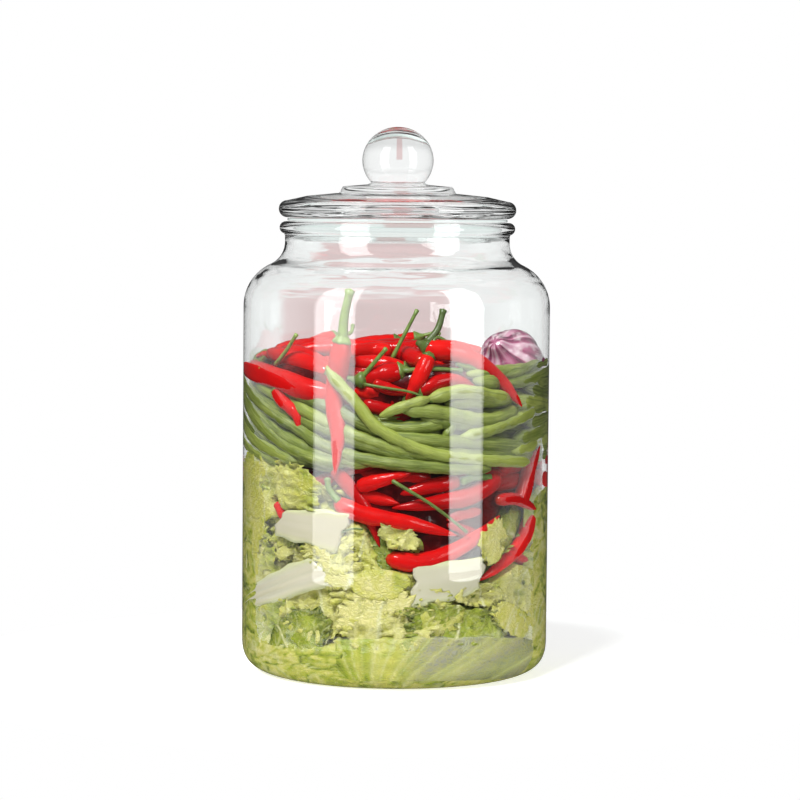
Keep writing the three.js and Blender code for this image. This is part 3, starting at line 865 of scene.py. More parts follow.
TOP_STALKS = [
    rod(1.3, 6, (-58, 173), (-51, 181), (-45, 190), tone=0.9),
    rod(1.5, 5, (-14, 168), (-9, 176), (-4, 184), tone=0.5),
    rod(1.3, 18, (-2, 178), (3, 189), (10, 204), tone=0.55),
    rod(0.9, 2, (-12, 165), (-3, 163), (6, 161), (14, 156), tone=0.3),
]

LOWER_STALKS = [
    rod(1.1, 0, (-1, 114), (14, 101), (28, 86), tone=0.35),
    rod(0.7, 0, (-20, 86), (-16, 88), (-12, 88), tone=0.3),
    rod(2.2, 1, (-22, 102), (-26, 108), (-27, 114), tone=0.5),
    rod(2.6, 2, (27, 113), (33, 115), (40, 114), tone=0.5),
]

LOWER_CHILLIES = [
    rod(3.9, 3, (-26, 119), (-19, 110), (-12, 99), (-6, 78)),
    rod(4.1, 0, (-15, 110, 2), (-5, 114, 1), (6, 118, 0)),
    rod(5.0, 0, (-24, 101), (-11, 95), (6, 91), (25, 84)),
    rod(5.2, 1, (46, 114), (32, 105), (18, 102), (-1, 99)),
    rod(4.4, 4, (27, 113), (14, 110), (1, 106)),
    rod(4.0, 5, (-15, 106), (-8, 104), (2, 101)),
    rod(5.1, 0, (-3, 72), (10, 70), (23, 75), (36, 84), (46, 93)),
    rod(4.2, 0, (66, 92), (60, 79), (47, 67), (35, 59)),
    rod(3.4, 0, (43, 102), (55, 101), (71, 92)),
    rod(4.3, 0, (57, 98), (61, 107), (65, 118), (70, 129, -3), hangs=135),
    rod(4.4, 0, (89, 141), (88, 124), (84, 102, -2), hangs=145),
    rod(5.2, 2, (76, 121), (90, 119), (108, 117)),
    rod(5.2, 0, (73, 111), (88, 108), (106, 110)),
    rod(4.2, 7, (18, 93), (32, 95), (47, 97)),
    rod(3.2, 3, (55, 70), (66, 66), (82, 60)),
    rod(4.0, 0, (-92, 119), (-87, 112), (-83, 104)),
    rod(3.2, 1, (-52, 99), (-50, 94), (-48, 88)),
]


def add_wall_chilli(fruit, stalks, row, rng, cap=True):
    path = wall_path(row, CHILLI_RINGS)
    if "stalk" in row:
        radius, tone, *places = row["stalk"]
        add_stalk(stalks, [at_wall(*place) for place in places], radius, tone)
        add_chilli(fruit, stalks, path, row["radius"], rng, cap=False)
        add_cap(stalks, path, row["radius"], rng, tone)
    else:
        add_chilli(fruit, stalks, path, row["radius"], rng, cap and row.get("cap", True))


def chillies_round(rng, count, low, high, spans, insets):
    """Chillies by the wall, drawn at random over spans of degrees."""
    rows = []
    for i in range(count):
        middle = rng.uniform(*spans[i % len(spans)])
        half = rng.uniform(34, 58) * rng.choice([-1, 1]) / 2
        drop = rng.uniform(-10, 10)
        level = low(middle) + rng.uniform(0, 1) * (high(middle) - low(middle))
        bend = (middle, level + rng.uniform(-3, 4))
        ends = (middle - half, level - drop), (middle + half, level + drop)
        rows.append(rod(rng.uniform(3.9, 5.8), rng.uniform(*insets), ends[0], bend, ends[1]))
    return rows


def add_crossing_chillies(fruit, stalks, rng, count):
    """Chillies that lie over the middle of the heap."""
    for i in range(count):
        heading = math.radians(360 * i / count + rng.uniform(-30, 30))
        place = rng.uniform(0, 1) ** 0.5 * 46
        spin = rng.uniform(0, 2 * math.pi)
        half = rng.uniform(24, 40)
        height = HEAP_TOP + rng.uniform(-1, 7)
        bow = rng.uniform(-9, 9)
        s = np.array([-1, -0.3, 0.4, 1])
        along, aside = s * half, (1 - s * s) * bow
        x = place * math.cos(spin) + along * math.cos(heading) - aside * math.sin(heading)
        y = place * math.sin(spin) + along * math.sin(heading) + aside * math.cos(heading)
        shrink = min(1.0, CROSSING_REACH / np.hypot(x, y).max())
        path = spline(np.stack([x * shrink, y * shrink, height - 3 * s * s], 1), CHILLI_RINGS)
        add_chilli(fruit, stalks, path, rng.uniform(4.2, 5.8), rng, cap=path[0][1] > 0)


# Long green beans


def add_bean(pods, row, rng, lines=()):
    count, radius = 16 + 9 * len(row["path"]), row["radius"]
    line = wall_path(row, count, lines)
    length = np.linalg.norm(np.diff(line, axis=0), axis=1).sum()
    t, a = np.linspace(0, 1, count), turns(BEAN_SIDES)
    ends = np.minimum(1, 0.35 + np.minimum(t, 1 - t) * length / 9)
    seeds = 1 + 0.05 * np.sin(2 * np.pi * t * length / rng.uniform(9, 12) + rng.uniform(0, 6))
    turn = rng.uniform(0, 2 * np.pi)
    oval = 1 - 0.07 * np.cos(2 * (a - turn))
    # The pod's two grooves, which also mask their painted shade.
    groove = np.exp(-(((a - turn + np.pi) % np.pi - np.pi / 2) / 0.17) ** 2)
    x, y = np.meshgrid(t * length / 6, np.cos(a) * 1.5, indexing="ij")
    lumps = noise(x, y, int(rng.integers(999)))
    radii = (radius * ends * seeds)[:, None] * (1 + 0.05 * lumps) * (oval - 0.07 * groove)
    offset = rng.uniform(0, 500)
    pods.add_tube(
        line,
        radii,
        BEAN_SIDES,
        tone=rng.uniform(0.05, 0.95),
        seam=np.r_[0.0, np.tile(groove, count), 0.0],
        along=np.r_[0.0, np.repeat(t * length, BEAN_SIDES), length] + offset,
        around=np.r_[0.0, np.tile(np.abs(a - np.pi) * radius, count), 0.0] + offset,
    )


FRONT_BEANS = [
    rod(
        3.5, 0, (-27.5, 174), (-24, 167), (-15, 154.5), (-7, 142), (9, 131), (26, 125.5), (62, 121),
    ),
    rod(3.7, 0, (-92, 156), (-66, 142), (-44, 128.5), (-20, 121)),
    rod(3.7, 0.6, (-96, 167), (-72, 156), (-46, 142), (-28, 131), (-12, 125), (14, 121), (40, 119)),
    rod(3.7, 0, (-100, 145), (-66, 131), (-40, 122)),
    rod(3.5, 2.5, (-80, 161), (-60, 152), (-44, 146), (-26, 139), (-8, 131), (10, 125)),
    rod(3.6, 3, (-56, 160), (-40, 157), (-26, 151), (-12, 143), (4, 134)),
    rod(3.7, 1.5, (-100, 134), (-72, 126), (-48, 120)),
    rod(3.9, 0, (12, 157), (26, 161), (46, 157), (78, 151), (100, 148)),
    rod(3.7, 0.8, (2, 151.5), (16, 150.5), (36, 145.5), (52, 149), (70, 156)),
    rod(3.1, 0.5, (-6, 148), (2, 153), (14, 158)),
    rod(3.7, 3, (-10, 143.5), (4, 141.5), (16, 143.5), (30, 148)),
    rod(3.7, 1, (-4, 137), (14, 135), (36, 133), (72, 128.5), (100, 127)),
    rod(3.3, 0, (25.5, 136.5), (36, 139), (50, 143.5), (66, 149)),
    rod(2.8, 2.5, (19, 133), (21, 139), (25, 147)),
    rod(3.8, 6, (26, 176), (34, 174), (48, 169)),
    rod(3.2, 2, (47, 168.5), (56, 170), (68, 173), (84, 175)),
    rod(3.8, 1, (32, 166.5), (50, 165), (72, 168), (100, 171)),
    rod(3.7, 0.5, (60, 161.5), (76, 158), (110, 156)),
    rod(3.1, 1, (76, 153), (82, 147), (80, 141), (74, 137)),
    rod(3.7, 1, (-104, 174), (-92, 168), (-86, 160), (-84, 150)),
    rod(3.6, 1.5, (-96, 161), (-70, 149), (-48, 135), (-30, 126.5), (-10, 122)),
    rod(3.6, 1.8, (-98, 151), (-70, 137), (-46, 125.5), (-22, 119)),
    rod(3.6, 2.0, (-70, 163), (-50, 155), (-34, 147), (-14, 136), (6, 129), (30, 123)),
    rod(3.6, 3, (10, 147), (30, 143), (56, 146), (90, 146)),
    rod(3.8, 0, (52, 134), (74, 137), (100, 139)),
    rod(3.7, 0.2, (60, 142), (78, 143.5), (104, 144)),
    rod(3.8, 0.2, (50, 127.5), (76, 131.5), (104, 132)),
    rod(3.7, 0.2, (62, 150), (82, 151), (106, 150)),
    rod(3.8, 0.2, (66, 164), (84, 163.5), (108, 162)),
    rod(3.6, 1.8, (0, 132), (24, 128.5), (60, 124.5), (98, 122)),
    rod(3.5, 3.5, (30, 170), (52, 171), (78, 171), (104, 166)),
    rod(3.5, 2.5, (20, 154), (40, 155), (70, 152.5), (104, 143)),
]


def run_on(row):
    """Beans that reach the jar's sides go on round its back."""
    first, last = row["path"][0], row["path"][-1]
    before = [(-132, first[1])] if first[0] < -90 else []
    after = [(132, last[1])] if last[0] > 96 else []
    return {**row, "path": [*before, *row["path"], *after]}


def flat_line(row, count):
    """A rod's line on the unrolled wall."""
    return spline([(math.radians(p[0]) * WALL_RADIUS, p[1]) for p in row["path"]], count)


def hanging_line(row):
    """The part of a chilli that hangs low, as a line that beans go behind."""
    line = flat_line(row, 60)
    return line[line[:, 1] < row["hangs"]], 2.5, 0.9 * row["radius"]


def beans_round(rng):
    """Beans that circle the rest of the jar, and more behind the first ones."""
    rows = []
    for i in range(34):
        behind = i >= 16
        middle = rng.uniform(0, 360) if behind else 180 + rng.uniform(-40, 40)
        half = rng.uniform(45, 85)
        level = 124.0 + 36.0 * ((i * 0.618) % 1.0)
        tilt = rng.uniform(-8, 8)
        path = [
            (middle + half * s, level + tilt * s + rng.uniform(-3, 3)) for s in (-1, -0.5, 0, 0.5, 1)
        ]
        if behind:
            path = [(d, min(z, float(beans_top(d, 1.0)) - 4)) for d, z in path]
        inset = rng.uniform(5.5, 9) if behind else rng.uniform(0, 3.5)
        rows.append(rod(rng.uniform(3.7, 4.6), inset, *path))
    return rows


# Cabbage


def leaf_row(degrees, z, wide, tall, green, **more):
    """A leaf's middle, size and tone. One that is over the rest isn't pushed
    back behind chillies and ribs."""
    return dict(deg=degrees, z=z, wide=wide, tall=tall, green=green, **more)


def rib_row(degrees, z, wide, tall, inset, **more):
    return dict(deg=degrees, z=z, wide=wide, tall=tall, inset=inset, **more)


# What the two scraps of leaf between the chillies share
SMALL = dict(frill=1.2, crinkle=1.0, relief=1.2, corner=1.7, rib=0.3, over=True)

RIBS = [
    rib_row(-34, 87.5, 42, 19, 0, turn=-4, taper=0.2, slant=4.5),
    rib_row(21, 61.5, 40, 21, 0.6, turn=6, taper=-0.15, slant=3, bow=-1.5),
    rib_row(-53, 52, 78, 15, 0.4, turn=19, taper=0.2, slant=-6, thick=3, ribbed=1),
    rib_row(86, 92, 30, 9, 0.5, turn=-48),
]

LEAVES = [
    leaf_row(-57, 107, 81, 34, 0.3, frill=2.4, veins=0.35, rib=0.8, crinkle=0.8),
    leaf_row(-76, 86, 52, 50, 0.3, inset=0.6, lean=-4),
    leaf_row(-47, 98, 39, 38, 0.4, turn=40, inset=3),
    leaf_row(-72, 66, 57, 45, 0.35, turn=24, inset=1.8),
    leaf_row(-14, 70, 52, 35, 0.2, turn=-16, inset=0.4, tip=5),
    leaf_row(-30, 50, 57, 42, 0.12, inset=0.5, turn=12),
    leaf_row(2, 84.5, 25, 13, 0.12, turn=-24, waves=7, ragged=1.4, **SMALL),
    leaf_row(40, 80, 19, 27, 0.15, turn=-14, waves=8, ragged=1.3, **SMALL),
    leaf_row(-4, 40, 52, 32, 0.02, inset=0.0, crinkle=1.7, frill=2.0),
    leaf_row(-2, 56, 60, 25, 0.18, inset=1.6, turn=8),
    leaf_row(24, 36, 60, 21, 0.72, turn=-6, inset=0.2, crinkle=0.5, veins=0.3),
    leaf_row(58, 50, 60, 42, 0.25, inset=0.6, turn=-20),
    leaf_row(78, 74, 47, 52, 0.4, inset=0.8, lean=4),
    leaf_row(66, 70, 39, 32, 0.75, inset=2.6, turn=30),
    leaf_row(84, 44, 44, 45, 0.5, inset=1.6),
    leaf_row(50, 37, 34, 16, 0.3, inset=0.4, turn=-24, over=True),
    leaf_row(10, 50, 34, 13, 0.2, turn=8, over=True),
    leaf_row(34, 52, 30, 12, 0.15, turn=-4, over=True),
    leaf_row(-26, 76, 34, 22, 0.2, turn=-24, over=True),
    leaf_row(-60, 34, 68, 42, 0.58, inset=0.3, turn=-10),
    leaf_row(-42, 22, 57, 28, 0.8, turn=48, crinkle=0.5),
    leaf_row(-82, 26, 52, 42, 0.5, inset=0.8),
]

# What a leaf or a rib has where its row doesn't say
PLAIN_LEAF = dict(
    turn=0.0, inset=0.0, lean=0.0, tip=0.0, crinkle=1.0, relief=1.0, rib=1.5, veins=0.45, frill=2.0,
    waves=24, corner=2.6, ragged=1.0,
)
PLAIN_RIB = dict(turn=0.0, thick=5.0, taper=0.0, ribbed=0.0, slant=0.0, bow=0.0)


def cover_lines():
    """Where chillies and ribs lie in front of the leaves: line, half width, depth."""
    lines = [
        (flat_line(row, 50), row["radius"], row["inset"] + 2 * row["radius"])
        for row in LOWER_CHILLIES + TOP_CHILLIES
    ]
    for row in RIBS:
        slab = SimpleNamespace(**{**PLAIN_RIB, **row})
        turn = math.radians(slab.turn)
        reach = np.linspace(-0.5, 0.5, 40)[:, None] * (slab.wide - slab.tall * 0.8)
        middle = np.array([[math.radians(slab.deg) * WALL_RADIUS, slab.z]])
        line = middle + reach * np.array([[math.cos(turn), math.sin(turn)]])
        lines.append((line, slab.tall * 0.42, slab.inset + slab.thick - 0.5))
    return lines


def pushed_back(degrees, z, lines):
    """The least depth that leaves room for what lies in front."""
    place = np.stack([np.radians(degrees) * WALL_RADIUS, z], -1)
    least = np.full(z.shape, -9.0)
    for line, half, depth in lines:
        low, high = line.min(0) - half - 4, line.max(0) + half + 4
        near = np.all((place > low) & (place < high), axis=-1)
        if not near.any():
            continue
        away = np.linalg.norm(place[near][:, None] - line[None], axis=-1).min(1)
        share = smooth_step((half + 2.5 - away) / 3.0)
        least[near] = np.maximum(least[near], depth * share - 9.0 * (1 - share))
    return least


def turned(row, x, y):
    """Degrees and height of places on a leaf or rib that lies at its turn."""
    turn = math.radians(row.turn)
    across = x * math.cos(turn) - y * math.sin(turn)
    up = row.z + x * math.sin(turn) + y * math.cos(turn)
    return row.deg + np.degrees(across / WALL_RADIUS), up


def leaf_outline(leaf, seed, step):
    """A grid over a leaf with a ragged margin: places across and up, its own
    way up from -1 to 1, the direction from its middle and how frilled it is."""
    columns, rows = int(leaf.wide / step), int(leaf.tall / step)
    u, v = np.meshgrid(np.linspace(-1, 1, columns), np.linspace(-1, 1, rows))
    shrink = (np.abs(u) ** leaf.corner + np.abs(v) ** leaf.corner) ** (1 / leaf.corner)
    reach = np.maximum(np.abs(u), np.abs(v))
    share = np.where(shrink > 1e-6, reach / np.maximum(shrink, 1e-6), 1.0)
    u, v = u * share, v * share
    frilled = smooth_step((reach - 0.66) / 0.34)
    spin = np.arctan2(v, u)
    cx, cy = np.cos(spin), np.sin(spin)
    ragged = 0.16 * noise(1.6 * cx, 1.6 * cy, seed) + 0.09 * noise(4 * cx, 4 * cy, seed + 1)
    ragged += 0.08 * noise(13 * cx, 13 * cy, seed + 2)
    grown = 1 + frilled * leaf.ragged * ragged
    return u * grown * leaf.wide / 2, v * grown * leaf.tall / 2, v, spin, frilled


def leaf_veins(leaf, x, y, v, wy, seed):
    """1 on a leaf's middle rib, less on its side veins and 0 between them."""
    slant = (wy + 0.75 * np.abs(x)) / 11 + 0.3 * noise(x / 12, y / 12, seed)
    vein = smooth_step((np.abs(slant % 1.0 - 0.5) * 2 - 0.82) / 0.18) * leaf.veins
    width = np.maximum(0.5, leaf.rib * (0.6 - 0.5 * v) + 0.4 * noise(y / 9, 0 * y, seed))
    bent = x + 2.5 * noise(y / 16, 0 * y + 3, seed)
    return np.maximum(vein, smooth_step(1.4 - np.abs(bent) / width) * min(1.0, leaf.rib))


def add_leaf(pile, row, seed, lines=(), step=LEAF_STEP):
    """A crinkled leaf that lies by the wall: rib along its length, frilled margin."""
    leaf = SimpleNamespace(**{**PLAIN_LEAF, **row})
    x, y, v, spin, frilled = leaf_outline(leaf, seed, step)
    wx = x + 2.0 * noise(x / 7, y / 7, seed + 20)
    wy = y + 2.0 * noise(x / 7, y / 7, seed + 21)
    coarse = np.maximum(ridges(wx / 6, wy / 20, seed), 0.8 * ridges(wx / 17, wy / 5.5, seed + 8))
    net = np.minimum(cells(wx / 6.5, wy / 5, seed + 5)[0], 0.5) * 2
    vein = leaf_veins(leaf, x, y, v, wy, seed)
    cx, cy = np.cos(spin), np.sin(spin)
    wave = np.sin(spin * leaf.waves + 4 * noise(2 * cx, 2 * cy, seed + 6))
    depth = (
        2.6 * leaf.relief * noise(x / 19, y / 19, seed + 3)
        + 1.6 * leaf.relief * noise(x / 8, y / 8, seed + 4)
        + 0.3 * noise(x / 2.2, y / 2.2, seed + 12)
        - leaf.crinkle * (2.6 * coarse + 0.6 * net**0.6 - 3.0)
        - 0.5 * vein
        + leaf.frill * frilled**2 * (wave + noise(9 * cx, 9 * cy, seed) - 0.4)
        + leaf.lean * x / leaf.wide
        + leaf.tip * y / leaf.tall
        + leaf.inset
    )
    degrees, up = turned(leaf, x, y)
    lowest = FLOOR + 5.0
    up = np.where(up < lowest, lowest - 3 + 3 * np.exp(np.minimum(up - lowest, 0) / 5), up)
    depth = np.maximum(depth - pressed(degrees), pushed_back(degrees, up, lines))
    nearest = 0.01 * (seed % 30) - PRESSED_IN
    flattened = nearest + 0.5 * np.exp((depth - nearest - 0.5) / 0.5)
    depth = np.where(depth < nearest + 0.5, flattened, depth)
    green = leaf.green + 0.15 * frilled + 0.12 * noise(x / 10, y / 10, seed + 9)
    # Paler on the crests of the crinkles and darker green in their hollows: painted light and shade.
    green = np.clip(green - 0.4 * (coarse - 0.6) * leaf.crinkle, 0, 1)
    pale = np.clip(np.maximum(vein, 0.4 * smooth_step((0.3 - net) / 0.3)), 0, 1)
    pile.add_sheet(degrees, up, depth, LEAF_THICK, green=green, vein=pale)


def add_rib(pile, row, seed):
    """A thick pale slab of leaf rib with cut ends."""
    slab = SimpleNamespace(**{**PLAIN_RIB, **row})
    columns, rows = int(slab.wide / RIB_STEP), int(slab.tall / RIB_STEP)
    u, v = np.meshgrid(np.linspace(-1, 1, columns), np.linspace(-1, 1, rows))
    x = u * slab.wide / 2 + slab.slant * v + 2.0 * u**4 * noise(3 * v, u, seed + 5)
    y = v * (1 + slab.taper * u) * slab.tall / 2 + slab.bow * (1 - u * u)
    y = y + 1.3 * v**4 * noise(x / 9, v, seed + 6)
    across = np.abs(v)
    streak = noise(x / 30, y / 1.6, seed)
    depth = slab.inset - 0.6 + 0.9 * across**4 + 0.3 * noise(x / 14, y / 9, seed + 2)
    depth += 0.12 * streak + 0.5 * smooth_step((np.abs(u) - 0.94) / 0.06)
    depth += 0.45 * slab.ribbed * np.sin(11 * v + 0.8 * noise(x / 20, y / 5, seed))
    degrees, up = turned(slab, x, y)
    up = np.maximum(up, FLOOR + 1)
    thickness = slab.thick * (1 - 0.7 * across**4)
    pile.add_sheet(degrees, up, depth, thickness, streak=streak, edge=across)


def random_leaf(rng, degrees, z, inset):
    return leaf_row(
        degrees,
        z,
        wide=rng.uniform(32, 50),
        tall=rng.uniform(24, 36),
        turn=rng.uniform(-70, 70),
        green=rng.choice([0.05, 0.2, 0.35, 0.5, 0.75]),
        inset=inset,
        lean=rng.uniform(-4, 4),
        tip=rng.uniform(-4, 4),
        crinkle=rng.uniform(0.6, 1.4),
        rib=rng.uniform(0.4, 2.6),
    )


def leaves_round(rng):
    """Leaves over the rest of the jar, and more behind the first ones."""
    rows = []
    for level, z in enumerate((18, 40, 62, 84, 102)):
        for k in range(11):
            degrees = 100 + 17 * k + 8 * (level % 2) + rng.uniform(-5, 5)
            if z > cabbage_top(degrees, 1.0) - 4:
                continue
            rows.append(random_leaf(rng, degrees, z + rng.uniform(-6, 6), rng.uniform(0, 2.4)))
    for k in range(26):
        degrees = -95 + 190 * (k + rng.uniform(0, 1)) / 26
        z = rng.uniform(14, float(cabbage_top(degrees, 1.0)) - 8)
        rows.append(random_leaf(rng, degrees, z, rng.uniform(3.5, 5.5)))
    return rows


def ribs_round(rng):
    """Rib slabs at the back of the jar."""
    rows = []
    for k in range(7):
        degrees = 112 + 25 * k + rng.uniform(-5, 5)
        z = rng.uniform(20, float(cabbage_top(degrees, 1.0)) - 12)
        wide, tall = rng.uniform(26, 44), rng.uniform(9, 17)
        turn = rng.uniform(-50, 50)
        rows.append(rib_row(degrees, z, wide, tall, rng.uniform(0, 1), turn=turn, taper=0.15))
    return rows


# Leaves pressed flat against the glass


def pressed_leaves(x, y, seed):
    """Green and vein values of leaves that overlap flat against the glass, with painted shade in the
    gaps between leaves and painted light and shade on the crumples: paler crests, darker hollows.
    """
    wx = x + 4 * noise(x / 10, y / 10, seed) + 1.2 * noise(x / 3, y / 3, seed + 4)
    wy = y + 4 * noise(x / 10, y / 10, seed + 1) + 1.2 * noise(x / 3, y / 3, seed + 5)
    margin, own = cells(wx / 26, wy / 24, seed)
    gap_shade = smooth_step((0.08 - margin) / 0.08)
    heading = 6.3 * own
    across = wx * np.cos(heading) + wy * np.sin(heading)
    streaks = smooth_step((ridges(across / 8, wx / 50 + own * 9, seed + 2) - 0.75) / 0.25)
    crumple_shade = ridges(wx / 7, wy / 4, seed + 6)
    net = smooth_step((0.16 - cells(wx / 4.5, wy / 3.6, seed + 9)[0]) / 0.16)
    # Darker green in the gaps between leaves and in the crumples' hollows, paler on their crests:
    # painted shade and light.
    green = 0.32 + 0.38 * own + 0.45 * gap_shade - 0.5 * (crumple_shade - 0.4)
    green = green + 0.25 * noise(wx / 3, wy / 2, seed + 3)
    vein = np.maximum(0.6 * streaks, 0.3 * net) * (1 - gap_shade)
    return np.clip(green, 0, 1), np.clip(vein, 0, 1)


def add_side_leaf(pile, first, last, seed):
    """Leaves pressed flat against the wall where the jar's side turns away."""
    degrees, share = np.meshgrid(np.linspace(first, last, 62), np.linspace(0, 1, 92))
    z = FLOOR + 8 + (cabbage_top(degrees, 1.0) - FLOOR - 10) * share
    aside = np.abs(degrees - (first + last) / 2) / abs(last - first) * 2
    edge = smooth_step((aside - 0.75) / 0.25)
    depth = -0.4 + 2.5 * edge + 1.5 * smooth_step((share - 0.96) / 0.04)
    green, vein = pressed_leaves(np.radians(degrees) * 55, z, seed)
    pile.add_sheet(degrees, z, depth, LEAF_THICK, green=green, vein=vein)


def add_bottom_leaf(pile, seed):
    """The leaves pressed flat on the glass floor and into its corner, further
    in where the smooth leaf lies."""
    degrees = 360 * np.arange(BOTTOM_COLUMNS) / BOTTOM_COLUMNS
    degrees = np.where(degrees > 180, degrees - 360, degrees)
    floor = [(r, FLOOR + FLOOR_CROWN * (1 - r / 55)) for r in np.linspace(4, 55, 18)]
    outline = floor + round_corner(WALL_RADIUS, FLOOR_CORNER, FLOOR, 26)[1:]
    under_fan = smooth_step((degrees - FAN[0] - 4) / 4) * smooth_step((FAN[1] - 4 - degrees) / 4)
    rings, tones = [], []
    for r, z in outline:
        dent = 0.1 + 1.4 * under_fan * smooth_step((z - FLOOR - 0.8) / 1.5)
        dent = dent + 0.45 * np.maximum(0, z - FLOOR - 14)
        slope = smooth_step((r - 50) / 30)
        out = r + (PRESSED_IN - dent) * slope
        rings.append(round_axis(degrees, out, z + (dent - PRESSED_IN) * (1 - slope)))
        x, y = np.radians(degrees) * max(r, 30), 0 * degrees + r + 1.6 * z
        tones.append(pressed_leaves(x, y, seed))
    outer = np.array(rings)
    lifted = (outer + [0, 0, 4.0]) * [0.95, 0.95, 1]
    ends = (0, 0, FLOOR + FLOOR_CROWN - PRESSED_IN), (0, 0, FLOOR + FLOOR_CROWN + 4)
    points = np.vstack([ends[0], *outer, *lifted[::-1], ends[1]])
    green, vein = (
        np.r_[0.4, np.ravel(kept), np.ravel(kept[::-1]), 0.4] for kept in np.swapaxes(tones, 0, 1)
    )
    pile.add(points, tube_faces(2 * len(outline), BOTTOM_COLUMNS), green=green, vein=vein)


def add_fan_leaf(pile):
    """A smooth leaf pressed into the glass corner, with veins that fan out."""
    s, t = np.meshgrid(np.linspace(0, 1, 130), np.linspace(0, 1, 54))
    degrees = FAN[0] + (FAN[1] - FAN[0]) * s
    top = 27 + 3 * np.sin(3.0 * s + 0.4) + 2.5 * noise(s * 6, 0 * s, 3) + 0.8 * noise(s * 21, 0 * s, 4)
    z = FLOOR + 0.2 + (top - FLOOR) * t
    x = np.radians(degrees) * WALL_RADIUS
    heading = np.arctan2(z + 12, x + 16)
    veins = ridges(heading * 6.5, 0.4 * heading, 8) ** 4
    streaks = noise(heading * 16, 0.03 * np.hypot(x, z), 4)
    pale = smooth_step((s - 0.24) / 0.2)
    relief = 0.5 * np.abs(noise(x / 13, z / 16, 6)) + (1 - pale) * 0.9 * (1 - ridges(x / 5, z / 5, 2))
    depth = -0.4 + relief * smooth_step((z - 17) / 6) + 3.5 * smooth_step((t - 0.93) / 0.07)
    depth += 4 * smooth_step((np.abs(2 * s - 1) - 0.95) / 0.05)
    green = 0.5 + 0.25 * streaks - 0.15 * noise(x / 4, z / 3, 12)
    vein = np.clip(0.5 * veins + 0.12 * pale * streaks, 0, 1)
    grey = np.clip(pale * (0.75 - 0.3 * streaks - 0.55 * veins), 0, 1)
    pile.add_sheet(degrees, z, depth, 1.0, green=green, vein=vein, grey=grey)


# The layers of the filling


def add_core(pile, low_at, high_at, relief, step=2.2, **values):
    """A rough disc between two surfaces, with relief on its side. It gets the darkest values of its
    layer's colour: painted shade behind the pieces.
    """
    columns = int(2 * math.pi * 78 / step)
    degrees = 360 * np.arange(columns) / columns
    reach = WALL_RADIUS - CORE_INSET
    shares = (0.15, 0.4, 0.65, 0.85)
    rings = [round_axis(degrees, reach * f, low_at(degrees, f)) for f in shares]
    for share in np.linspace(0, 1, 26):
        z = low_at(degrees, 1.0) * (1 - share) + high_at(degrees, 1.0) * share
        rounding = 3.0 * (abs(2 * share - 1) ** 6)
        rings.append(at_wall(degrees, z, CORE_INSET + rounding + relief(degrees, z)))
    rings += [round_axis(degrees, reach * f, high_at(degrees, f)) for f in reversed(shares)]
    bottom, top = (0, 0, float(low_at(0, 0.0))), (0, 0, float(high_at(0, 0.0)))
    pile.add(np.vstack([bottom, *rings, top]), tube_faces(len(rings), columns), **values)


def flat_relief(degrees, z):
    return 1.2 * noise(degrees / 5, z / 5, 8)


def folded_relief(degrees, z):
    x = degrees * math.pi / 180 * 80
    return 2.5 * noise(x / 14, z / 11, 5) - 3 * np.clip(cells(x / 6, z / 6, 3)[0], 0, 0.5) - 1.5


def make_cabbage():
    leaves = Pile("green", "vein", "grey")
    # The core's green of 0.9 is nearly black: painted shade behind the leaves.
    add_core(leaves, cabbage_low, cabbage_top, folded_relief, step=1.8, green=0.9, vein=0.0)
    rng = np.random.default_rng(41)
    lines = cover_lines()
    for seed, row in enumerate(LEAVES):
        add_leaf(leaves, row, seed + 1, () if row.get("over") else lines)
    more = Pile("green", "vein", "grey")
    add_bottom_leaf(more, 5)
    add_side_leaf(more, 108, 60, 8)
    add_side_leaf(more, -60, -108, 9)
    add_fan_leaf(more)
    for seed, row in enumerate(leaves_round(rng)):
        add_leaf(more, row, seed + 50, lines, step=BACK_LEAF_STEP)
    ribs = Pile("streak", "edge")
    for seed, row in enumerate(RIBS):
        add_rib(ribs, row, seed)
    for seed, row in enumerate(ribs_round(rng)):
        add_rib(ribs, row, seed + 40)
    return (
        leaves.piece("cabbage_leaves", leaf_material(), "cabbage_heap", "cabbage_heap"),
        more.piece("cabbage_leaves_more", leaf_material(), "cabbage_heap"),
        ribs.piece("cabbage_ribs", rib_material(), "cabbage_heap"),
    )


def make_lower_chillies(skin, stalk):
    rng = np.random.default_rng(31)
    fruit, stalks = Pile("tone", "along"), Pile("tone")
    # The core has the darkest tone: painted shade behind the chillies.
    add_core(fruit, cabbage_top, chillies_top, flat_relief, tone=0.0, along=0.5)
    low = lambda d: float(cabbage_top(d, 1.0)) + 3
    high = lambda d: float(chillies_top(d, 1.0)) - 4
    groups = (18, [(105, 180), (180, 255)], (0, 3)), (16, [(-30, 20), (10, 60), (50, 90)], (6, 9))
    for row in LOWER_CHILLIES:
        add_wall_chilli(fruit, stalks, row, rng, cap=False)
    for count, spans, insets in groups:
        for row in chillies_round(rng, count, low, high, spans, insets):
            add_wall_chilli(fruit, stalks, row, rng, cap=False)
    for row in LOWER_STALKS:
        add_stalk(stalks, wall_path(row, 8), row["radius"], row["tone"])
    return (
        fruit.piece("chillies_lower", skin, "chilli_heap_lower", "chilli_heap_lower"),
        stalks.piece("stalks_lower", stalk, "chilli_heap_lower"),
    )


def make_beans():
    rng = np.random.default_rng(21)
    pods = Pile("tone", "seam", "along", "around")
    # The core has the darkest tone: painted shade behind the beans.
    add_core(pods, beans_low, beans_top, flat_relief, tone=0.0, seam=0.0)
    hanging = [hanging_line(row) for row in TOP_CHILLIES + LOWER_CHILLIES if "hangs" in row]
    front = [run_on(row) for row in FRONT_BEANS]
    for i, row in enumerate(front + beans_round(rng)):
        add_bean(pods, row, rng, hanging if i else ())
    return pods.piece("green_beans", bean_material(), "bean_heap", "bean_heap")


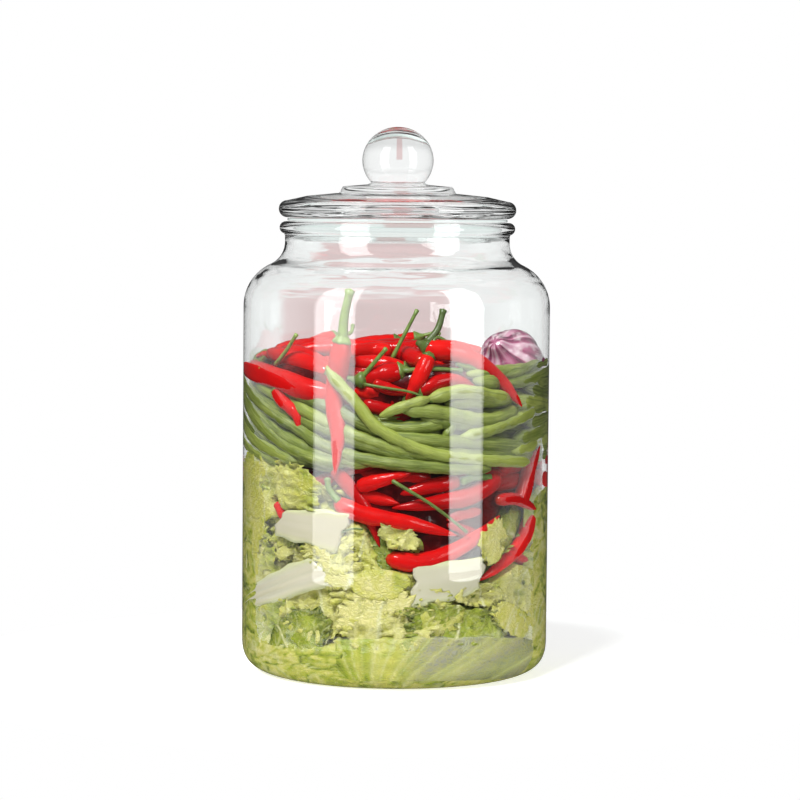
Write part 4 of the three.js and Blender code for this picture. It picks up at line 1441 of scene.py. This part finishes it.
def make_top_chillies(skin, stalk):
    rng = np.random.default_rng(11)
    fruit, stalks = Pile("tone", "along"), Pile("tone")
    # The core has the darkest tone: painted shade behind the chillies.
    add_core(fruit, beans_top, heap_top, flat_relief, tone=0.0, along=0.5)
    low = lambda d: 166.0
    high = lambda d: 176.0
    for row in TOP_CHILLIES:
        add_wall_chilli(fruit, stalks, row, rng)
    for row in chillies_round(rng, 14, low, high, [(110, 180), (180, 250)], (0, 5)):
        add_wall_chilli(fruit, stalks, row, rng, cap=130 < row["path"][0][0] < 225)
    spans = [(-80, -20), (-20, 12), (-100, -40)]
    for row in chillies_round(rng, 12, low, high, spans, (12, 20)):
        add_wall_chilli(fruit, stalks, row, rng, cap=False)
    add_crossing_chillies(fruit, stalks, rng, 20)
    for row in TOP_STALKS:
        add_stalk(stalks, wall_path(row, 8), row["radius"], row["tone"])
    radii = DARK_CAP["radius"] * np.array([1, 1.05, 0.95, 0.7, 0.5, 0.38, 0.3, 0.25])
    stalks.add_tube(wall_path(DARK_CAP, len(radii)), radii, 14, tone=DARK_CAP["tone"])
    return (
        fruit.piece("chillies_top", skin, "chilli_heap_top", "chilli_heap_top"),
        stalks.piece("stalks_top", stalk, "chilli_heap_top"),
    )


def make_garlic():
    """A round bulb with five cloves under its skin and a dry neck."""
    rings, sides = 40, 60
    t, a = np.meshgrid(np.linspace(0.02, 0.98, rings), turns(sides), indexing="ij")
    neck = smooth_step((t - 0.86) / 0.12)
    lobes = 1 + 0.07 * np.abs(np.cos(2.5 * a)) * np.sin(np.pi * t)
    creases = 1 + 0.012 * noise(a * 9, t * 3, 4)
    radius = BULB_RADIUS * (np.sin(np.pi * t) ** 0.8 * (1 - 0.5 * neck) + 0.16 * neck)
    radius = radius * lobes * creases
    z = BULB_RADIUS * (0.35 * neck - 0.84 * np.cos(np.pi * t))
    body = np.stack([radius * np.cos(a), radius * np.sin(a), z], -1).reshape(-1, 3)
    points = np.vstack([(0, 0, z[0, 0] - 0.3), body, (0, 0, z[-1, 0] + 0.5)])
    lying = Matrix.Rotation(math.radians(-30), 3, "Z") @ Matrix.Rotation(math.radians(58), 3, "X")
    stripe = 0.5 + 0.5 * noise(a * 7, t * 2, 2)
    bulb = Pile("stripe")
    faces = tube_faces(rings, sides)
    bulb.add(points @ np.array(lying).T + BULB_PLACE, faces, stripe=np.r_[0.5, stripe.ravel(), 0.5])
    return bulb.piece("garlic", garlic_material(), "garlic_bulb", "garlic_bulb")


# Setting


def make_floor():
    """A round sheet of white paper, which ends where the camera no longer sees it."""
    angles = turns(60)
    rim = [(FLOOR_SHEET * math.cos(t), FLOOR_SHEET * math.sin(t), 0) for t in angles]
    faces = [(0, 1 + i, 1 + (i + 1) % len(rim)) for i in range(len(rim))]
    mesh = bpy.data.meshes.new("floor")
    mesh.from_pydata([(0, 0, 0), *rim], [], faces)
    shader = material_shader("floor_paper")
    tone = shader.ramp(shader.noise(3.0), (0.0, (0.86, 0.86, 0.86)), (1.0, (0.89, 0.89, 0.89)))
    paper = shader.principled(tone, Roughness=0.9, Emission_Color=tone, Emission_Strength=0.6)
    mesh.materials.append(shader.finish(paper))
    floor = in_scene(bpy.data.objects.new("floor", mesh))
    floor.visible_glossy = False
    return floor


def add_softbox(name, azimuth, elevation, distance, height, size, radiance, lit):
    """A soft lamp that looks at the jar's axis at the given height, for some pieces."""
    lamp = bpy.data.lights.new(name, "AREA")
    lamp.shape = "RECTANGLE"
    lamp.size, lamp.size_y = size
    lamp.energy = radiance * math.pi * size[0] * size[1]
    obj = in_scene(bpy.data.objects.new(name, lamp))
    a, e = math.radians(azimuth), math.radians(elevation)
    across = distance * math.cos(e)
    obj.location = (across * math.sin(a), -across * math.cos(a), height + distance * math.sin(e))
    obj.rotation_euler = (math.radians(90) - e, 0, a)
    receivers = bpy.data.collections.new(name + "_lights")
    for piece in lit:
        receivers.objects.link(piece)
    obj.light_linking.receiver_collection = receivers


def make_world():
    """White to the camera. Light and reflections find it bright above and
    behind the jar, and dim in front, with a warm patch behind its upper part."""
    world = bpy.data.worlds.new("studio")
    bpy.context.scene.world = world
    shader = Shader(world, "OutputWorld")
    way = shader.node("SeparateXYZ", {0: shader.place("Generated")}).outputs
    path = shader.node("LightPath").outputs

    def level(source, low, high):
        return shader.range(source, low, high, kind="SMOOTHSTEP")

    above = level(way["Z"], 0.02, 0.35)
    softened = shader.math("MULTIPLY_ADD", path["Is Glossy Ray"], -0.6 * WORLD_ABOVE, WORLD_ABOVE)
    overhead = shader.math("MULTIPLY", above, softened)
    steep = level(shader.math("ABSOLUTE", way["Z"]), 0.15, 0.4)
    panel = shader.math("MULTIPLY_ADD", steep, -0.2, level(way["Y"], -0.55, 0.2))
    bright = shader.math("MAXIMUM", panel, above)
    through = shader.math("MULTIPLY", bright, path["Is Transmission Ray"])
    lit = shader.math("MAXIMUM", shader.math("MAXIMUM", through, overhead), WORLD_DIM)
    patch = level(way["X"], *WARM_LEFT)
    for side, ends in (("X", WARM_RIGHT), ("Z", WARM_TOP)):
        patch = shader.math("MULTIPLY", patch, level(way[side], *ends))
    tint = shader.mix(patch, (1, 1, 1), WARM_TINT)
    tinted = shader.mix(1.0, lit, tint, "MULTIPLY")
    light, seen = (
        shader.node("Background", {"Color": colour}).outputs[0] for colour in (tinted, (1, 1, 1))
    )
    shader.finish(shader.mixed(path["Is Camera Ray"], light, seen))


def make_camera():
    data = bpy.data.cameras.new("camera")
    data.lens = LENS
    data.clip_end = 20
    camera = in_scene(bpy.data.objects.new("camera", data))
    camera.location = (CAMERA_ASIDE * MM, -CAMERA_DISTANCE * MM, CAMERA_HEIGHT * MM)
    camera.rotation_mode = "XYZ"
    camera.rotation_euler = (math.radians(90) - CAMERA_PITCH, CAMERA_ROLL, 0)
    bpy.context.scene.camera = camera


bpy.context.scene.view_settings.view_transform = "Standard"
make_camera()
make_world()
floor = make_floor()

glass = glass_material("clear_glass", (0.975, 0.99, 0.985))
silicone = glass_material("clear_silicone", (0.99, 0.995, 0.995), roughness=0.08, ior=1.41)
clear = [make_jar(glass), make_lid(glass), make_seal(silicone)]
chilli_skin = chilli_material()
chilli_stalk = stalk_material()
filling = [
    *make_cabbage(),
    *make_lower_chillies(chilli_skin, chilli_stalk),
    make_beans(),
    *make_top_chillies(chilli_skin, chilli_stalk),
    make_garlic(),
]

add_softbox("strip_left", -44, 0, 0.55, 0.42, (0.30, 0.85), 4.1, clear)
add_softbox("strip_right", 51, 0, 0.58, 0.42, (0.26, 0.85), 4.8, clear)
add_softbox("key", -24, 50, 1.0, 0.12, (0.28, 0.28), 55.0, [*filling, floor])
add_softbox("fill", 40, 22, 1.0, 0.12, (0.4, 0.4), 5.0, [*filling, floor])
